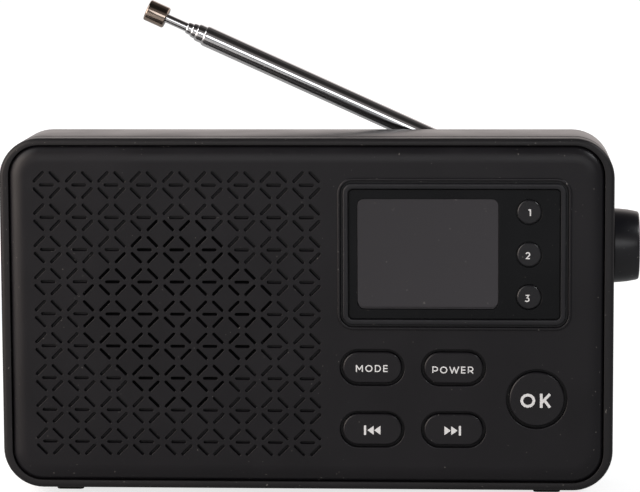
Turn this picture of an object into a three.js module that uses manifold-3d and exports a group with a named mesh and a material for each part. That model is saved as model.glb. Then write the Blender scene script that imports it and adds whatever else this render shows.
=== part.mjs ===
import * as THREE from "three";
import { mergeGeometries, mergeVertices } from "three/addons/utils/BufferGeometryUtils.js";
import Module from "manifold-3d";

// A portable tabletop radio with a slotted speaker grille, a small screen, eight push
// buttons, a side knob and a folding telescopic antenna. Millimetres, +Z up. The front
// faces -Y. Inside the cabinet group, depths are measured from the face of the front panel and
// heights from a level just above the cabinet's underside.

// ---------------------------------------------------------------- driving dimensions

const CABINET_WIDTH = 180.8;
const CABINET_TOP = 104;
const UNDERSIDE = -0.4;
const CORNER_RADIUS = 11.8;
const BODY_DEPTH = 36; // front panel to the flat band of the back
const BULGE_DEPTH = 43; // front panel to the raised middle of the back
const WALL = 2.4;
const GAP = 0.3; // between pieces that sit against each other
const FOOT_HEIGHT = 2.5;
const FOOT_RADIUS = 4;

const BEZEL_FRONT = 1; // the bezel's face stands this far behind the panel's
const BEZEL_BACK = 8.4;
const SHADOW_LINE = 1.2; // open groove between the two halves of the cabinet
const PANEL_WIDTH = 175;
const PANEL_HEIGHT = 99.8;
const PANEL_RADIUS = 9;
const PANEL_Z = 51.95;
const PANEL_GROOVE = 0.3;
const PANEL_THICKNESS = 2.4;

const LATTICE_PITCH = 9.565;
const LATTICE_COUNT = 9;
const LATTICE_X = -76.12; // first diamond, top left
const LATTICE_Z = 90.38;
const SLIT_LENGTH = 4.4;
const SLIT_WIDTH = 0.88;
const SLIT_DEPTH = 1; // of the blind ones
const SPEAKER_RADIUS = 29;
// The slits that go right through fill an octagon over the speaker. These are the distances
// from its middle to a level or upright side, and to a slanted one, across and up added.
const SOUND_REACH = 27.5;
const SOUND_SLANT = 36;

const DISPLAY_X = 43.65;
const DISPLAY_Z = 70.1;
const FRAME_WIDTH = 65.4;
const FRAME_HEIGHT = 41.8;
const FRAME_PROUD = 0.5;
const LENS_WIDTH = 61.7;
const LENS_HEIGHT = 38.1;
const WINDOW_X = 35.93;
const WINDOW_WIDTH = 41.3;
const WINDOW_HEIGHT = 32.6;

const KEY_WIDTH = 17.1;
const KEY_HEIGHT = 9.3;
const KEY_CLEARANCE = 1.05; // open gap round the five large buttons
const OK_RADIUS = 8;
const PRESET_RADIUS = 3.55;
const PRESET_PITCH = 12.54;
const KEY_TRAVEL = 0.5;

const KNOB_Y = 21;
const KNOB_Z = 70.3;
const KNOB_RADIUS = 11.1;
const KNOB_END = 98.4; // how far the knob's face reaches from the middle of the cabinet
const SHAFT_RADIUS = 3;

const ANTENNA_X = 64;
const ANTENNA_Z = 88.05;
const ANTENNA_RAISED = THREE.MathUtils.degToRad(24.4);
const ROD_DEPTH = 41.25; // plane that the telescopic rod turns in
const TUBE_RADII = [3.15, 2.7, 2.25, 1.8];
const TUBE_ENDS = [106.5, 109, 110.6, 112.3];
const TUBE_WALL = 0.35;
const ROD_RADIUS = 1.35;
const TIP_RADIUS = 3.3;
const TIP_START = 119.1;
const TIP_END = 125.6;

const CELL_RADIUS = 9.1;
const CELL_LENGTH = 65;

const FLAT = 0; // depth of the front panel's face

// The whole object's box is centred on the origin, and the feet stand on Z = 0.
const BOX_CENTRE_X = (KNOB_END - CABINET_WIDTH / 2) / 2;
const BOX_CENTRE_Y = (ROD_DEPTH + TIP_RADIUS - FRAME_PROUD) / 2;

// ---------------------------------------------------------------- finishes

const CASE_BLACK = { color: 0x262426, roughness: 0.62, metalness: 0 };
const PLATE_BLACK = { color: 0x1b1d1e, roughness: 0.45, metalness: 0 };
const SCREEN_GREY = { color: 0x3a3a3b, roughness: 0.35, metalness: 0 };
const KEY_BLACK = { color: 0x28272a, roughness: 0.5, metalness: 0 };
const CHROME = { color: 0xc9cacc, roughness: 0.12, metalness: 1 };
const STEEL = { color: 0x9a9c9f, roughness: 0.35, metalness: 1 };
const RUBBER = { color: 0x1c1c1c, roughness: 0.9, metalness: 0 };
const BOARD_GREEN = { color: 0x1f5a38, roughness: 0.5, metalness: 0 };
const PAPER_BLACK = { color: 0x222222, roughness: 0.95, metalness: 0 };
const MAGNET_GREY = { color: 0x3d3d40, roughness: 0.6, metalness: 0.3 };
const CELL_WRAP = { color: 0x2f6f9f, roughness: 0.4, metalness: 0 };
const WIRE_RED = { color: 0x9c2320, roughness: 0.5, metalness: 0 };

// ---------------------------------------------------------------- solid operations

const wasm = await Module();
wasm.setup();

// A closed three.js geometry as a solid. A profile drawn the other way round is turned.
function solid(geometry) {
  const loose = geometry.index ? geometry.toNonIndexed() : geometry;
  const bare = new THREE.BufferGeometry().setAttribute("position", loose.getAttribute("position"));
  const merged = mergeVertices(bare, 1e-4);
  const corners = merged.index.array;
  const triangles = [];
  for (let i = 0; i < corners.length; i += 3) {
    const [a, b, c] = [corners[i], corners[i + 1], corners[i + 2]];
    if (a !== b && b !== c && c !== a) triangles.push(a, b, c);
  }
  const vertProperties = merged.getAttribute("position").array;
  const build = (list) =>
    new wasm.Manifold(new wasm.Mesh({ numProp: 3, vertProperties, triVerts: new Uint32Array(list) }));
  const made = build(triangles);
  return made.volume() > 0 ? made : build(triangles.reverse());
}

function join(...solids) {
  return solids.reduce((whole, next) => whole.add(next));
}

function cut(whole, ...tools) {
  return tools.reduce((left, tool) => left.subtract(tool), whole);
}

// One named mesh with a material of its own.
function piece(name, body, finish) {
  const { vertProperties, triVerts } = body.getMesh();
  const shared = new THREE.BufferGeometry();
  shared.setAttribute("position", new THREE.BufferAttribute(vertProperties, 3));
  shared.setIndex(new THREE.BufferAttribute(triVerts, 1));
  const geometry = shared.toNonIndexed();
  geometry.computeVertexNormals();
  const mesh = new THREE.Mesh(geometry, new THREE.MeshStandardMaterial(finish));
  mesh.name = name;
  return mesh;
}

// ---------------------------------------------------------------- outlines and forms

const CORNER_STEPS = 3; // each rounded corner has twice this many flats
const ROUND_STEPS = 4; // and each half circle twice this many
const HIDDEN_STEPS = 2; // corners inside the cabinet

function roundedRect(width, height, radius, x = 0, z = 0) {
  const shape = new THREE.Shape();
  const right = width / 2 - radius;
  const top = height / 2 - radius;
  shape.absarc(x + right, z + top, radius, 0, Math.PI / 2);
  shape.absarc(x - right, z + top, radius, Math.PI / 2, Math.PI);
  shape.absarc(x - right, z - top, radius, Math.PI, 1.5 * Math.PI);
  shape.absarc(x + right, z - top, radius, 1.5 * Math.PI, 2 * Math.PI);
  return shape;
}

// Two half circles joined by straight sides, or a whole circle where width equals height.
function stadium(width, height, x, z) {
  const shape = new THREE.Shape();
  const radius = height / 2;
  const half = width / 2 - radius;
  shape.absarc(x + half, z, radius, -Math.PI / 2, Math.PI / 2);
  shape.absarc(x - half, z, radius, Math.PI / 2, 1.5 * Math.PI);
  return shape;
}

// The cabinet's front outline, drawn in by an inset.
function cabinetOutline(inset) {
  const width = CABINET_WIDTH - 2 * inset;
  const height = CABINET_TOP - UNDERSIDE - 2 * inset;
  const middle = (CABINET_TOP + UNDERSIDE) / 2;
  return roundedRect(width, height, CORNER_RADIUS - inset, 0, middle);
}

// An outline in the XZ plane, or a list of them, extruded from one depth to another.
function slab(shape, front, back, steps = CORNER_STEPS) {
  const options = { depth: back - front, bevelEnabled: false, curveSegments: steps };
  return solid(new THREE.ExtrudeGeometry(shape, options).rotateX(Math.PI / 2).translate(0, back, 0));
}

// A solid through outlines of like corners, each at its own depth: [[shape, depth], ...].
function loft(layers, steps = CORNER_STEPS) {
  const rings = layers.map(([shape]) => {
    const points = shape.getPoints(steps);
    return points.filter((p, i) => p.distanceTo(points.at(i - 1)) > 1e-6);
  });
  const count = rings[0].length;
  const positions = rings.flatMap((ring, layer) => ring.flatMap((p) => [p.x, layers[layer][1], p.y]));
  const index = [];
  for (let layer = 0; layer + 1 < rings.length; layer++) {
    for (let i = 0; i < count; i++) {
      const a = layer * count + i;
      const b = layer * count + ((i + 1) % count);
      index.push(a, a + count, b, b, a + count, b + count);
    }
  }
  const last = (rings.length - 1) * count;
  for (const [a, b, c] of THREE.ShapeUtils.triangulateShape(rings[0], [])) index.push(a, b, c);
  for (const [a, b, c] of THREE.ShapeUtils.triangulateShape(rings.at(-1), [])) {
    index.push(last + c, last + b, last + a);
  }
  const geometry = new THREE.BufferGeometry();
  geometry.setAttribute("position", new THREE.Float32BufferAttribute(positions, 3));
  geometry.setIndex(index);
  return solid(geometry);
}

function asPoint([along, across]) {
  return new THREE.Vector2(along, across);
}

// A profile of [radius, distance] points turned about the Y axis, or about a line beside it.
function turned(profile, steps, x = 0, z = 0) {
  return solid(new THREE.LatheGeometry(profile.map(asPoint), steps).translate(x, 0, z));
}

// The same profile turned about a line along +X.
function turnedAlongX(profile, steps, y, z) {
  const lathe = new THREE.LatheGeometry(profile.map(asPoint), steps).rotateZ(-Math.PI / 2);
  return solid(lathe.translate(0, y, z));
}

function rod(radius, front, back, x, z, steps = 12) {
  return turned([[0, front], [radius, front], [radius, back], [0, back]], steps, x, z);
}

function rodAlongX(radius, left, right, y, z, steps = 16) {
  return turnedAlongX([[0, left], [radius, left], [radius, right], [0, right]], steps, y, z);
}

function box(left, right, front, back, bottom, top) {
  const geometry = new THREE.BoxGeometry(right - left, back - front, top - bottom);
  geometry.translate((left + right) / 2, (front + back) / 2, (bottom + top) / 2);
  return solid(geometry);
}

// A wire of round section along points.
function wire(points, radius, steps) {
  const extrudePath = new THREE.CatmullRomCurve3(points.map((p) => new THREE.Vector3(...p)));
  const section = new THREE.Shape().absarc(0, 0, radius, 0, 2 * Math.PI);
  return solid(new THREE.ExtrudeGeometry(section, { steps, curveSegments: 3, extrudePath }));
}

// ---------------------------------------------------------------- case screws

const SCREW_X = 81;
const SCREW_LOW = 9;
const SCREW_HIGH = CABINET_TOP - SCREW_LOW;
const SCREW_SEAT = 22; // bottom of the well that the head sits in
const BOSS_END = 14;
const screwPlaces = [
  ["top_left", -SCREW_X, SCREW_HIGH],
  ["top_right", SCREW_X, SCREW_HIGH],
  ["bottom_left", -SCREW_X, SCREW_LOW],
  ["bottom_right", SCREW_X, SCREW_LOW],
];

function caseScrews() {
  const seat = SCREW_SEAT + GAP;
  const profile = [[0, 8], [1.3, 9], [1.3, seat], [2.8, seat], [2.8, seat + 1.1], [0, seat + 2]];
  return screwPlaces.map(([place, x, z]) =>
    piece("case_screw_" + place, turned(profile, 10, x, z), STEEL),
  );
}

// The grille panel's outline, drawn in by an inset.
function panelOutline(inset) {
  const width = PANEL_WIDTH - 2 * inset;
  return roundedRect(width, PANEL_HEIGHT - 2 * inset, PANEL_RADIUS - inset, 0, PANEL_Z);
}

// ---------------------------------------------------------------- front bezel

// The front half of the cabinet: a ring with a rounded front edge, a ledge that the grille
// panel sits on, a tongue that enters the rear half, and four screw bosses.
function frontBezel() {
  const shell = loft([
    [cabinetOutline(1.3), BEZEL_FRONT],
    [cabinetOutline(0.5), BEZEL_FRONT + 0.3],
    [cabinetOutline(0), BEZEL_FRONT + 1.3],
    [cabinetOutline(0), BEZEL_BACK],
  ]);
  const tongue = slab(cabinetOutline(1.3), BEZEL_BACK - 1, BEZEL_BACK + 2.6);
  const panelSeat = slab(panelOutline(-PANEL_GROOVE), FLAT, 5);
  const throat = slab(cabinetOutline(6), 4, 8, HIDDEN_STEPS);
  const rear = slab(cabinetOutline(WALL), 7, BEZEL_BACK + 3, HIDDEN_STEPS);
  const bosses = screwPlaces.map(([, x, z]) => rod(3.2, 5, BOSS_END, x, z, 8));
  const pilotHoles = screwPlaces.map(([, x, z]) => rod(1.7, 6.8, BOSS_END + 1, x, z, 6));
  const ring = cut(join(shell, tongue), panelSeat, throat, rear);
  return piece("front_bezel", cut(join(ring, ...bosses), ...pilotHoles), CASE_BLACK);
}

// ---------------------------------------------------------------- front panel and grille

// Each button's cap, its place, and the depth of the face that its flange comes up against.
const LENS_BACK = 1.3;
const largeKeys = [
  { name: "mode", x: 19.5, z: 36.5 },
  { name: "power", x: 43.45, z: 36.5 },
  { name: "previous", x: 19.5, z: 18.05 },
  { name: "next", x: 43.45, z: 18.05 },
].map((key) => ({ ...key, width: KEY_WIDTH, height: KEY_HEIGHT }));
largeKeys.push({ name: "ok", x: 67.85, z: 27.3, width: 2 * OK_RADIUS, height: 2 * OK_RADIUS });
const presetKeys = [1, 0, -1].map((row, i) => ({
  name: "preset_" + (i + 1),
  x: 65.53,
  z: DISPLAY_Z + row * PRESET_PITCH,
  width: 2 * PRESET_RADIUS,
  height: 2 * PRESET_RADIUS,
}));

function keyOutline({ width, height, x, z }, inset) {
  return stadium(width - 2 * inset, height - 2 * inset, x, z);
}

const SPEAKER_X = LATTICE_X + ((LATTICE_COUNT - 1) / 2) * LATTICE_PITCH;
const SPEAKER_Z = LATTICE_Z - ((LATTICE_COUNT - 1) / 2) * LATTICE_PITCH;

// A slit's section, along its width and into the panel, drawn out along the slit's length.
function slit(section, x, z, angle) {
  const options = { depth: SLIT_LENGTH, bevelEnabled: false };
  const geometry = new THREE.ExtrudeGeometry(section, options).translate(0, 0, -SLIT_LENGTH / 2);
  return geometry.rotateY(Math.PI / 2 - angle).translate(x, 0, z);
}

// Each cell of the grille is a diamond of four slanted slits with a level one in its middle.
function grilleSlits() {
  const slits = [];
  const quarter = LATTICE_PITCH / 4;
  for (let column = 0; column < LATTICE_COUNT; column++) {
    for (let row = 0; row < LATTICE_COUNT; row++) {
      const x = LATTICE_X + column * LATTICE_PITCH;
      const z = LATTICE_Z - row * LATTICE_PITCH;
      slits.push([x, z, 0]);
      for (const [right, up] of [[-1, 1], [1, 1], [-1, -1], [1, -1]]) {
        slits.push([x + right * quarter, z + up * quarter, (-right * up * Math.PI) / 4]);
      }
    }
  }
  return slits;
}

function soundsThrough([x, z]) {
  const across = Math.abs(x - SPEAKER_X);
  const up = Math.abs(z - SPEAKER_Z);
  return Math.max(across, up) < SOUND_REACH && across + up < SOUND_SLANT;
}

// Straight-sided slits where the sound comes out, and V-shaped blind ones elsewhere.
function grilleCutters() {
  const half = SLIT_WIDTH / 2;
  const straight = new THREE.Shape([[-half, -1], [half, -1], [half, 4], [-half, 4]].map(asPoint));
  const wide = half * (1 + 0.1 / SLIT_DEPTH);
  const vee = new THREE.Shape([[-wide, -0.1], [wide, -0.1], [0, SLIT_DEPTH]].map(asPoint));
  const slits = grilleSlits();
  const through = slits.filter(soundsThrough).map((place) => slit(straight, ...place));
  const blind = slits.filter((place) => !soundsThrough(place)).map((place) => slit(vee, ...place));
  return [solid(mergeGeometries(through)), solid(mergeGeometries(blind))];
}

// The panel is a pillow-edged plate. Its slits reach the speaker inside an octagon and are
// blind elsewhere, so the grille looks even from edge to edge.
function frontPanel() {
  const plate = loft([
    [panelOutline(3.2), FLAT],
    [panelOutline(1.5), FLAT + 0.3],
    [panelOutline(0.4), FLAT + 0.9],
    [panelOutline(0), FLAT + 1.8],
    [panelOutline(0), 5 - GAP],
  ]);
  const hollow = slab(panelOutline(1.6), PANEL_THICKNESS, 5, HIDDEN_STEPS);
  const around = (by, radius) =>
    roundedRect(FRAME_WIDTH + by, FRAME_HEIGHT + by, radius, DISPLAY_X, DISPLAY_Z);
  const bead = loft([
    [around(2.1, 4), FLAT - 0.4],
    [around(2.9, 4.4), FLAT - 0.15],
    [around(2.9, 4.4), FLAT + 0.5],
  ]);
  const ringProfile = [[29.8, 2], [31, 2], [31, 6], [29.8, 6], [29.8, 2]];
  const speakerRing = turned(ringProfile, 20, SPEAKER_X, SPEAKER_Z);
  const posts = boardPosts.map(([x, z]) => rod(2.2, 2, BOARD_FRONT - GAP, x, z, 8));
  const keyHoles = largeKeys.map((key) => keyOutline(key, -KEY_CLEARANCE));
  const body = cut(
    join(cut(plate, hollow), bead, speakerRing, ...posts),
    slab(around(1.4, 3.7), -1, 3),
    slab(keyHoles, -1, 3, ROUND_STEPS),
    ...grilleCutters(),
  );
  return piece("front_panel", body, CASE_BLACK);
}

// ---------------------------------------------------------------- rear cabinet

const BULGE_WIDTH = 152;
const BULGE_HEIGHT = 70;
const BULGE_Z = 41;
const INNER_BACK = BODY_DEPTH - WALL;
const DOOR = { left: -1.2, right: 70.7, bottom: 12.6, top: 37.4, thickness: 1.8 };
const BAY_FLOOR = 21.9;
const JACK = { y: 17.5, z: 37 };
const USB = { y: 16.5, z: 25 };
const mainBoardPosts = [[10, 86], [78, 86], [8, 46], [82, 46]];
const footPlaces = [
  ["front_left", -71, 17.5],
  ["front_right", 71, 17.5],
  ["rear_left", -71, 29.5],
  ["rear_right", 71, 29.5],
];

function bulgeOutline(inset) {
  return roundedRect(BULGE_WIDTH - 2 * inset, BULGE_HEIGHT - 2 * inset, 9 - inset, 0, BULGE_Z);
}

// The rear half: walls, a back with a raised middle for the speaker and the battery, and a
// flat band above it that the folded antenna lies against.
function rearCabinet() {
  const front = BEZEL_BACK + SHADOW_LINE;
  const outer = loft([
    [cabinetOutline(0), front],
    [cabinetOutline(0), BODY_DEPTH - 3],
    [cabinetOutline(0.9), BODY_DEPTH - 0.9],
    [cabinetOutline(3), BODY_DEPTH],
  ]);
  const bulge = loft([
    [bulgeOutline(0), BODY_DEPTH - 1],
    [bulgeOutline(1.6), BULGE_DEPTH - 1.5],
    [bulgeOutline(3.2), BULGE_DEPTH],
  ]);
  const rebate = slab(cabinetOutline(1), front - 1, BEZEL_BACK + 2.6 + GAP);
  const cavity = slab(cabinetOutline(WALL), BEZEL_BACK + 2, INNER_BACK, HIDDEN_STEPS);
  const bulgeCavity = slab(bulgeOutline(WALL + 1.4), INNER_BACK - 1, BULGE_DEPTH - WALL, 1);
  const shell = cut(join(outer, bulge), rebate, cavity, bulgeCavity);

  const screwTubes = screwPlaces.map(([, x, z]) => rod(4.2, BOSS_END + GAP, INNER_BACK + 1, x, z, 8));
  const screwWells = screwPlaces.map(([, x, z]) => rod(3.2, SCREW_SEAT, BULGE_DEPTH + 1, x, z));
  const screwHoles = screwPlaces.map(([, x, z]) => rod(1.8, BOSS_END, SCREW_SEAT + 1, x, z, 6));
  const posts = mainBoardPosts.map(([x, z]) => {
    const overBulge = Math.abs(x) < BULGE_WIDTH / 2 && z < BULGE_Z + BULGE_HEIGHT / 2;
    const end = overBulge ? BULGE_DEPTH - WALL + 1 : INNER_BACK + 1;
    return rod(2.5, MAIN_BOARD_BACK + GAP, end, x, z, 6);
  });
  const antennaBoss = rod(7.5, 29, INNER_BACK + 1, ANTENNA_X, ANTENNA_Z, 12);
  const bay = box(DOOR.left - 1.8, DOOR.right + 1.8, BAY_FLOOR - 1.5, BULGE_DEPTH - 1.5,
    DOOR.bottom - 1.8, DOOR.top + 1.8);

  const bayInside = box(DOOR.left + 1.2, DOOR.right - 1.2, BAY_FLOOR, BULGE_DEPTH,
    DOOR.bottom + 1.2, DOOR.top - 1.2);
  const doorway = box(DOOR.left - GAP, DOOR.right + GAP, BULGE_DEPTH - DOOR.thickness - GAP,
    BULGE_DEPTH + 1, DOOR.bottom - GAP, DOOR.top + GAP);
  const antennaHoles = join(
    rod(3.3, 28, BODY_DEPTH, ANTENNA_X, ANTENNA_Z, 16),
    rod(5.5, BODY_DEPTH - 1.6, BODY_DEPTH + 1, ANTENNA_X, ANTENNA_Z, 16),
  );
  const knobHole = rodAlongX(4.2, 84, 92, KNOB_Y, KNOB_Z);
  const jackHole = rodAlongX(3.3, 84, 92, JACK.y, JACK.z);
  const usbSlot = join(
    box(84, 92, USB.y - 2, USB.y + 2, USB.z - 3, USB.z + 3),
    rodAlongX(2, 84, 92, USB.y, USB.z - 3, 12),
    rodAlongX(2, 84, 92, USB.y, USB.z + 3, 12),
  );
  const [wide, mouth, top] = [FOOT_RADIUS + GAP, UNDERSIDE - 1, UNDERSIDE + 0.9];
  const pocket = [[0, mouth], [wide, mouth], [wide, top], [0, top]];
  const footPockets = footPlaces.map(([, x, y]) => upright(pocket, x, y));
  const body = cut(
    join(shell, ...screwTubes, ...posts, antennaBoss, bay),
    ...screwWells, ...screwHoles, bayInside, doorway, antennaHoles,
    knobHole, jackHole, usbSlot, ...footPockets,
  );
  return piece("rear_cabinet", body, CASE_BLACK);
}

// ---------------------------------------------------------------- feet

// A profile of [radius, height] points turned about a vertical line.
function upright(profile, x, y) {
  const lathe = new THREE.LatheGeometry(profile.map(asPoint), 12).rotateX(Math.PI / 2);
  return solid(lathe.translate(x, y, 0));
}

function feet() {
  const radius = FOOT_RADIUS;
  const [bottom, top] = [UNDERSIDE - FOOT_HEIGHT, UNDERSIDE + 0.9 - GAP];
  const profile = [[0, bottom], [radius - 0.4, bottom], [radius, bottom + 0.4], [radius, top], [0, top]];
  return footPlaces.map(([place, x, y]) => piece("foot_" + place, upright(profile, x, y), RUBBER));
}

// ---------------------------------------------------------------- display

const LENS_FRONT = 0.1;

// A collar that stands proud of the panel, with a flange behind it and a ledge for the lens.
function displayFrame() {
  const at = (width, height, radius) => roundedRect(width, height, radius, DISPLAY_X, DISPLAY_Z);
  const collar = loft([
    [at(FRAME_WIDTH - 0.8, FRAME_HEIGHT - 0.8, 2.6), -FRAME_PROUD],
    [at(FRAME_WIDTH, FRAME_HEIGHT, 3), FLAT],
    [at(FRAME_WIDTH, FRAME_HEIGHT, 3), PANEL_THICKNESS + 1],
  ]);
  const flange = slab(at(FRAME_WIDTH + 3.8, FRAME_HEIGHT + 3.6, 3), PANEL_THICKNESS + GAP, 3.7, 1);
  const lensSeat = slab(at(LENS_WIDTH + 0.6, LENS_HEIGHT + 0.6, 1.5), -2, LENS_BACK + GAP, 1);
  const opening = slab(at(LENS_WIDTH - 2.4, LENS_HEIGHT - 2.4, 1.2), 0, 5, 1);
  return piece("display_frame", cut(join(collar, flange), lensSeat, opening), CASE_BLACK);
}

// One black plate behind which the screen shows, with holes for the three preset buttons.
function displayLens() {
  const outline = roundedRect(LENS_WIDTH, LENS_HEIGHT, 1.2, DISPLAY_X, DISPLAY_Z);
  const plate = slab(outline, LENS_FRONT, LENS_BACK, 1);
  const window = roundedRect(WINDOW_WIDTH, WINDOW_HEIGHT, 1.6, WINDOW_X, DISPLAY_Z);
  const keyHoles = presetKeys.map((key) => keyOutline(key, -GAP));
  const openings = [slab(window, -1, 3, HIDDEN_STEPS), slab(keyHoles, -1, 3, ROUND_STEPS)];
  return piece("display_lens", cut(plate, ...openings), PLATE_BLACK);
}

function screenModule() {
  const glass = roundedRect(WINDOW_WIDTH + 2, WINDOW_HEIGHT + 2.6, 0.8, WINDOW_X, DISPLAY_Z);
  const backing = roundedRect(WINDOW_WIDTH + 1.4, WINDOW_HEIGHT + 1.8, 0.8, WINDOW_X, DISPLAY_Z);
  const layers = join(slab(glass, LENS_BACK + GAP, 2.6, 1), slab(backing, 2.5, 4.4, 1));
  return piece("lcd_module", layers, SCREEN_GREY);
}

// ---------------------------------------------------------------- buttons and their switches

const BOARD_FRONT = 8;
const BOARD_THICKNESS = 1.6;
const SWITCH_FRONT = 4.3;
const STEM_RADIUS = 1.5;
const STEM_END = 5;
const boardPosts = [[6.5, 95.5], [75, 95.5], [6.5, 10], [75, 10]];

// A cap with a softened edge, a square flange that keeps it behind its opening, and a stem
// that works the switch.
function button(key, front, seat, flangeWidth) {
  const flangeFront = seat + GAP;
  const cap = loft([
    [keyOutline(key, 0.45), front],
    [keyOutline(key, 0), front + 0.45],
    [keyOutline(key, 0), flangeFront + 0.5],
  ], ROUND_STEPS);
  const [halfWidth, halfHeight] = [key.width / 2 + flangeWidth, key.height / 2 + flangeWidth];
  const flange = box(key.x - halfWidth, key.x + halfWidth, flangeFront, flangeFront + 0.8,
    key.z - halfHeight, key.z + halfHeight);
  const stem = rod(STEM_RADIUS, flangeFront, STEM_END, key.x, key.z, 6);
  return piece("button_" + key.name, join(cap, flange, stem), KEY_BLACK);
}

function buttons() {
  const large = largeKeys.map((key) => button(key, 0.1, PANEL_THICKNESS, KEY_CLEARANCE + 0.6));
  const presets = presetKeys.map((key) => button(key, 0, LENS_BACK, 0.9));
  return [...large, ...presets];
}

// The switch's plunger is the end of the button's stem, which runs in the switch's bore.
function switches() {
  return [...largeKeys, ...presetKeys].map(({ name, x, z }) => {
    const half = 3;
    const base = box(x - half, x + half, SWITCH_FRONT, BOARD_FRONT - GAP, z - half, z + half);
    const bore = rod(STEM_RADIUS + 0.08, SWITCH_FRONT - 1, STEM_END + KEY_TRAVEL + GAP, x, z, 6);
    return piece("switch_" + name, cut(base, bore), MAGNET_GREY);
  });
}

function keyBoard() {
  const body = box(4, 77, BOARD_FRONT, BOARD_FRONT + BOARD_THICKNESS, 7, 98);
  return piece("key_board", body, BOARD_GREEN);
}

// ---------------------------------------------------------------- main board and sockets

const MAIN_BOARD_FRONT = 13;
const MAIN_BOARD_BACK = MAIN_BOARD_FRONT + 1.6;
const PART_SEAT = MAIN_BOARD_BACK + GAP;

function mainBoard() {
  return piece("main_board", box(5, 86.8, MAIN_BOARD_FRONT, MAIN_BOARD_BACK, 14, 90), BOARD_GREEN);
}

// The tuner is a chip board under a pressed steel can with a stepped lid.
function tunerModule() {
  const can = box(16, 44, PART_SEAT, PART_SEAT + 3, 50, 72);
  const lid = box(16.8, 43.2, PART_SEAT + 2, PART_SEAT + 3.4, 50.8, 71.2);
  return piece("tuner_module", join(can, lid), STEEL);
}

function headphoneSocket() {
  const { y, z } = JACK;
  const body = box(75, 87.2, PART_SEAT, y + 2.9, z - 3.3, z + 3.3);
  const collar = rodAlongX(2.9, 86, 89.4, y, z);
  const bore = rodAlongX(1.8, 76, 91, y, z, 12);
  return piece("headphone_socket", cut(join(body, collar), bore), MAGNET_GREY);
}

// A flat steel shell with the contact tongue standing in it.
function usbSocket() {
  const { y, z } = USB;
  const obround = (radius, half, left, right) => join(
    box(left, right, y - radius, y + radius, z - half, z + half),
    rodAlongX(radius, left, right, y, z - half, 12),
    rodAlongX(radius, left, right, y, z + half, 12),
  );
  const shell = cut(obround(1.6, 2.9, 80, 88.8), obround(1.25, 2.9, 81, 90));
  return piece("usb_socket", join(shell, box(80.5, 87.8, y - 0.35, y + 0.35, z - 3.2, z + 3.2)), STEEL);
}

// ---------------------------------------------------------------- speaker

function grilleCloth() {
  return piece("grille_cloth", rod(28.8, 2.7, 3, SPEAKER_X, SPEAKER_Z, 20), PAPER_BLACK);
}

function speakerBasket() {
  const profile = [
    [24.8, 3.3], [SPEAKER_RADIUS, 3.3], [SPEAKER_RADIUS, 4.9], [25.4, 4.9],
    [17, 18.6], [9, 18.6], [9, 17.4], [16.2, 17.4], [24.8, 3.3],
  ];
  const basket = turned(profile, 20, SPEAKER_X, SPEAKER_Z);
  const windows = [0, 1, 2, 3].map((quarter) => {
    const angle = ((quarter + 0.5) * Math.PI) / 2;
    return rod(4.6, 7, 18, SPEAKER_X + 21 * Math.cos(angle), SPEAKER_Z + 21 * Math.sin(angle), 6);
  });
  return piece("speaker_basket", cut(basket, ...windows), STEEL);
}

function speakerMagnet() {
  const profile = [
    [0, 14], [6.4, 14], [6.4, 19], [15, 19], [16, 20], [16, 26], [15, 27.4], [0, 27.4],
  ];
  return piece("speaker_magnet", turned(profile, 16, SPEAKER_X, SPEAKER_Z), MAGNET_GREY);
}

// Rolled surround, straight-sided cone and domed dust cap in one shell.
function speakerCone() {
  const front = [[23.6, 4.2], [22.3, 3.5], [21, 4.2], [7.8, 11.6], [5, 10], [0, 9.4]];
  const back = [[0, 10.2], [4.8, 10.7], [7.8, 12.6], [21.2, 5], [22.3, 4.3], [23.6, 4.8]];
  const profile = [...front, ...back, front[0]];
  return piece("speaker_cone", turned(profile, 20, SPEAKER_X, SPEAKER_Z), PAPER_BLACK);
}

function speakerLead() {
  const route = [[-15.9, 12, 52], [-11, 14.5, 52], [-4, 18, 53], [3, 18, 56], [9, 15.7, 58]];
  return piece("speaker_lead", wire(route, 0.7, 8), WIRE_RED);
}

// ---------------------------------------------------------------- side knob

// The knob is a shell with a hub, slightly conical, pressed on the encoder's shaft.
function sideKnob() {
  const start = CABINET_WIDTH / 2 + 0.35;
  const hub = SHAFT_RADIUS + 0.1;
  const profile = [
    [hub, start], [hub + 1.4, start], [hub + 1.4, KNOB_END - 1.8], [KNOB_RADIUS - 2, KNOB_END - 1.8],
    [KNOB_RADIUS - 1.5, start], [KNOB_RADIUS, start], [KNOB_RADIUS - 0.95, KNOB_END - 0.6],
    [KNOB_RADIUS - 1.5, KNOB_END], [0, KNOB_END], [0, KNOB_END - 2.2], [hub, KNOB_END - 2.2], [hub, start],
  ];
  return piece("side_knob", turnedAlongX(profile, 20, KNOB_Y, KNOB_Z), KEY_BLACK);
}

function encoder() {
  const half = 6;
  const body = box(71, 77.5, PART_SEAT, KNOB_Y + half, KNOB_Z - half, KNOB_Z + half);
  const bushing = rodAlongX(3.7, 77, 86.5, KNOB_Y, KNOB_Z);
  const bore = rodAlongX(SHAFT_RADIUS + 0.1, 72.5, 90, KNOB_Y, KNOB_Z);
  const shaft = rodAlongX(SHAFT_RADIUS, 73, KNOB_END - 2.5, KNOB_Y, KNOB_Z);
  return [
    piece("encoder_body", cut(join(body, bushing), bore), STEEL),
    piece("encoder_shaft", shaft, STEEL),
  ];
}

// ---------------------------------------------------------------- telescopic antenna

const PIVOT_RADIUS = 1.6;
const ANTENNA_STEPS = 12;
const TONGUE_HALF = 1.5;
const EAR_INNER = 1.75;
const EAR_OUTER = 3.3;
const EAR_RADIUS = 2.6;
const PIN_RADIUS = 0.9;

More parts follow.
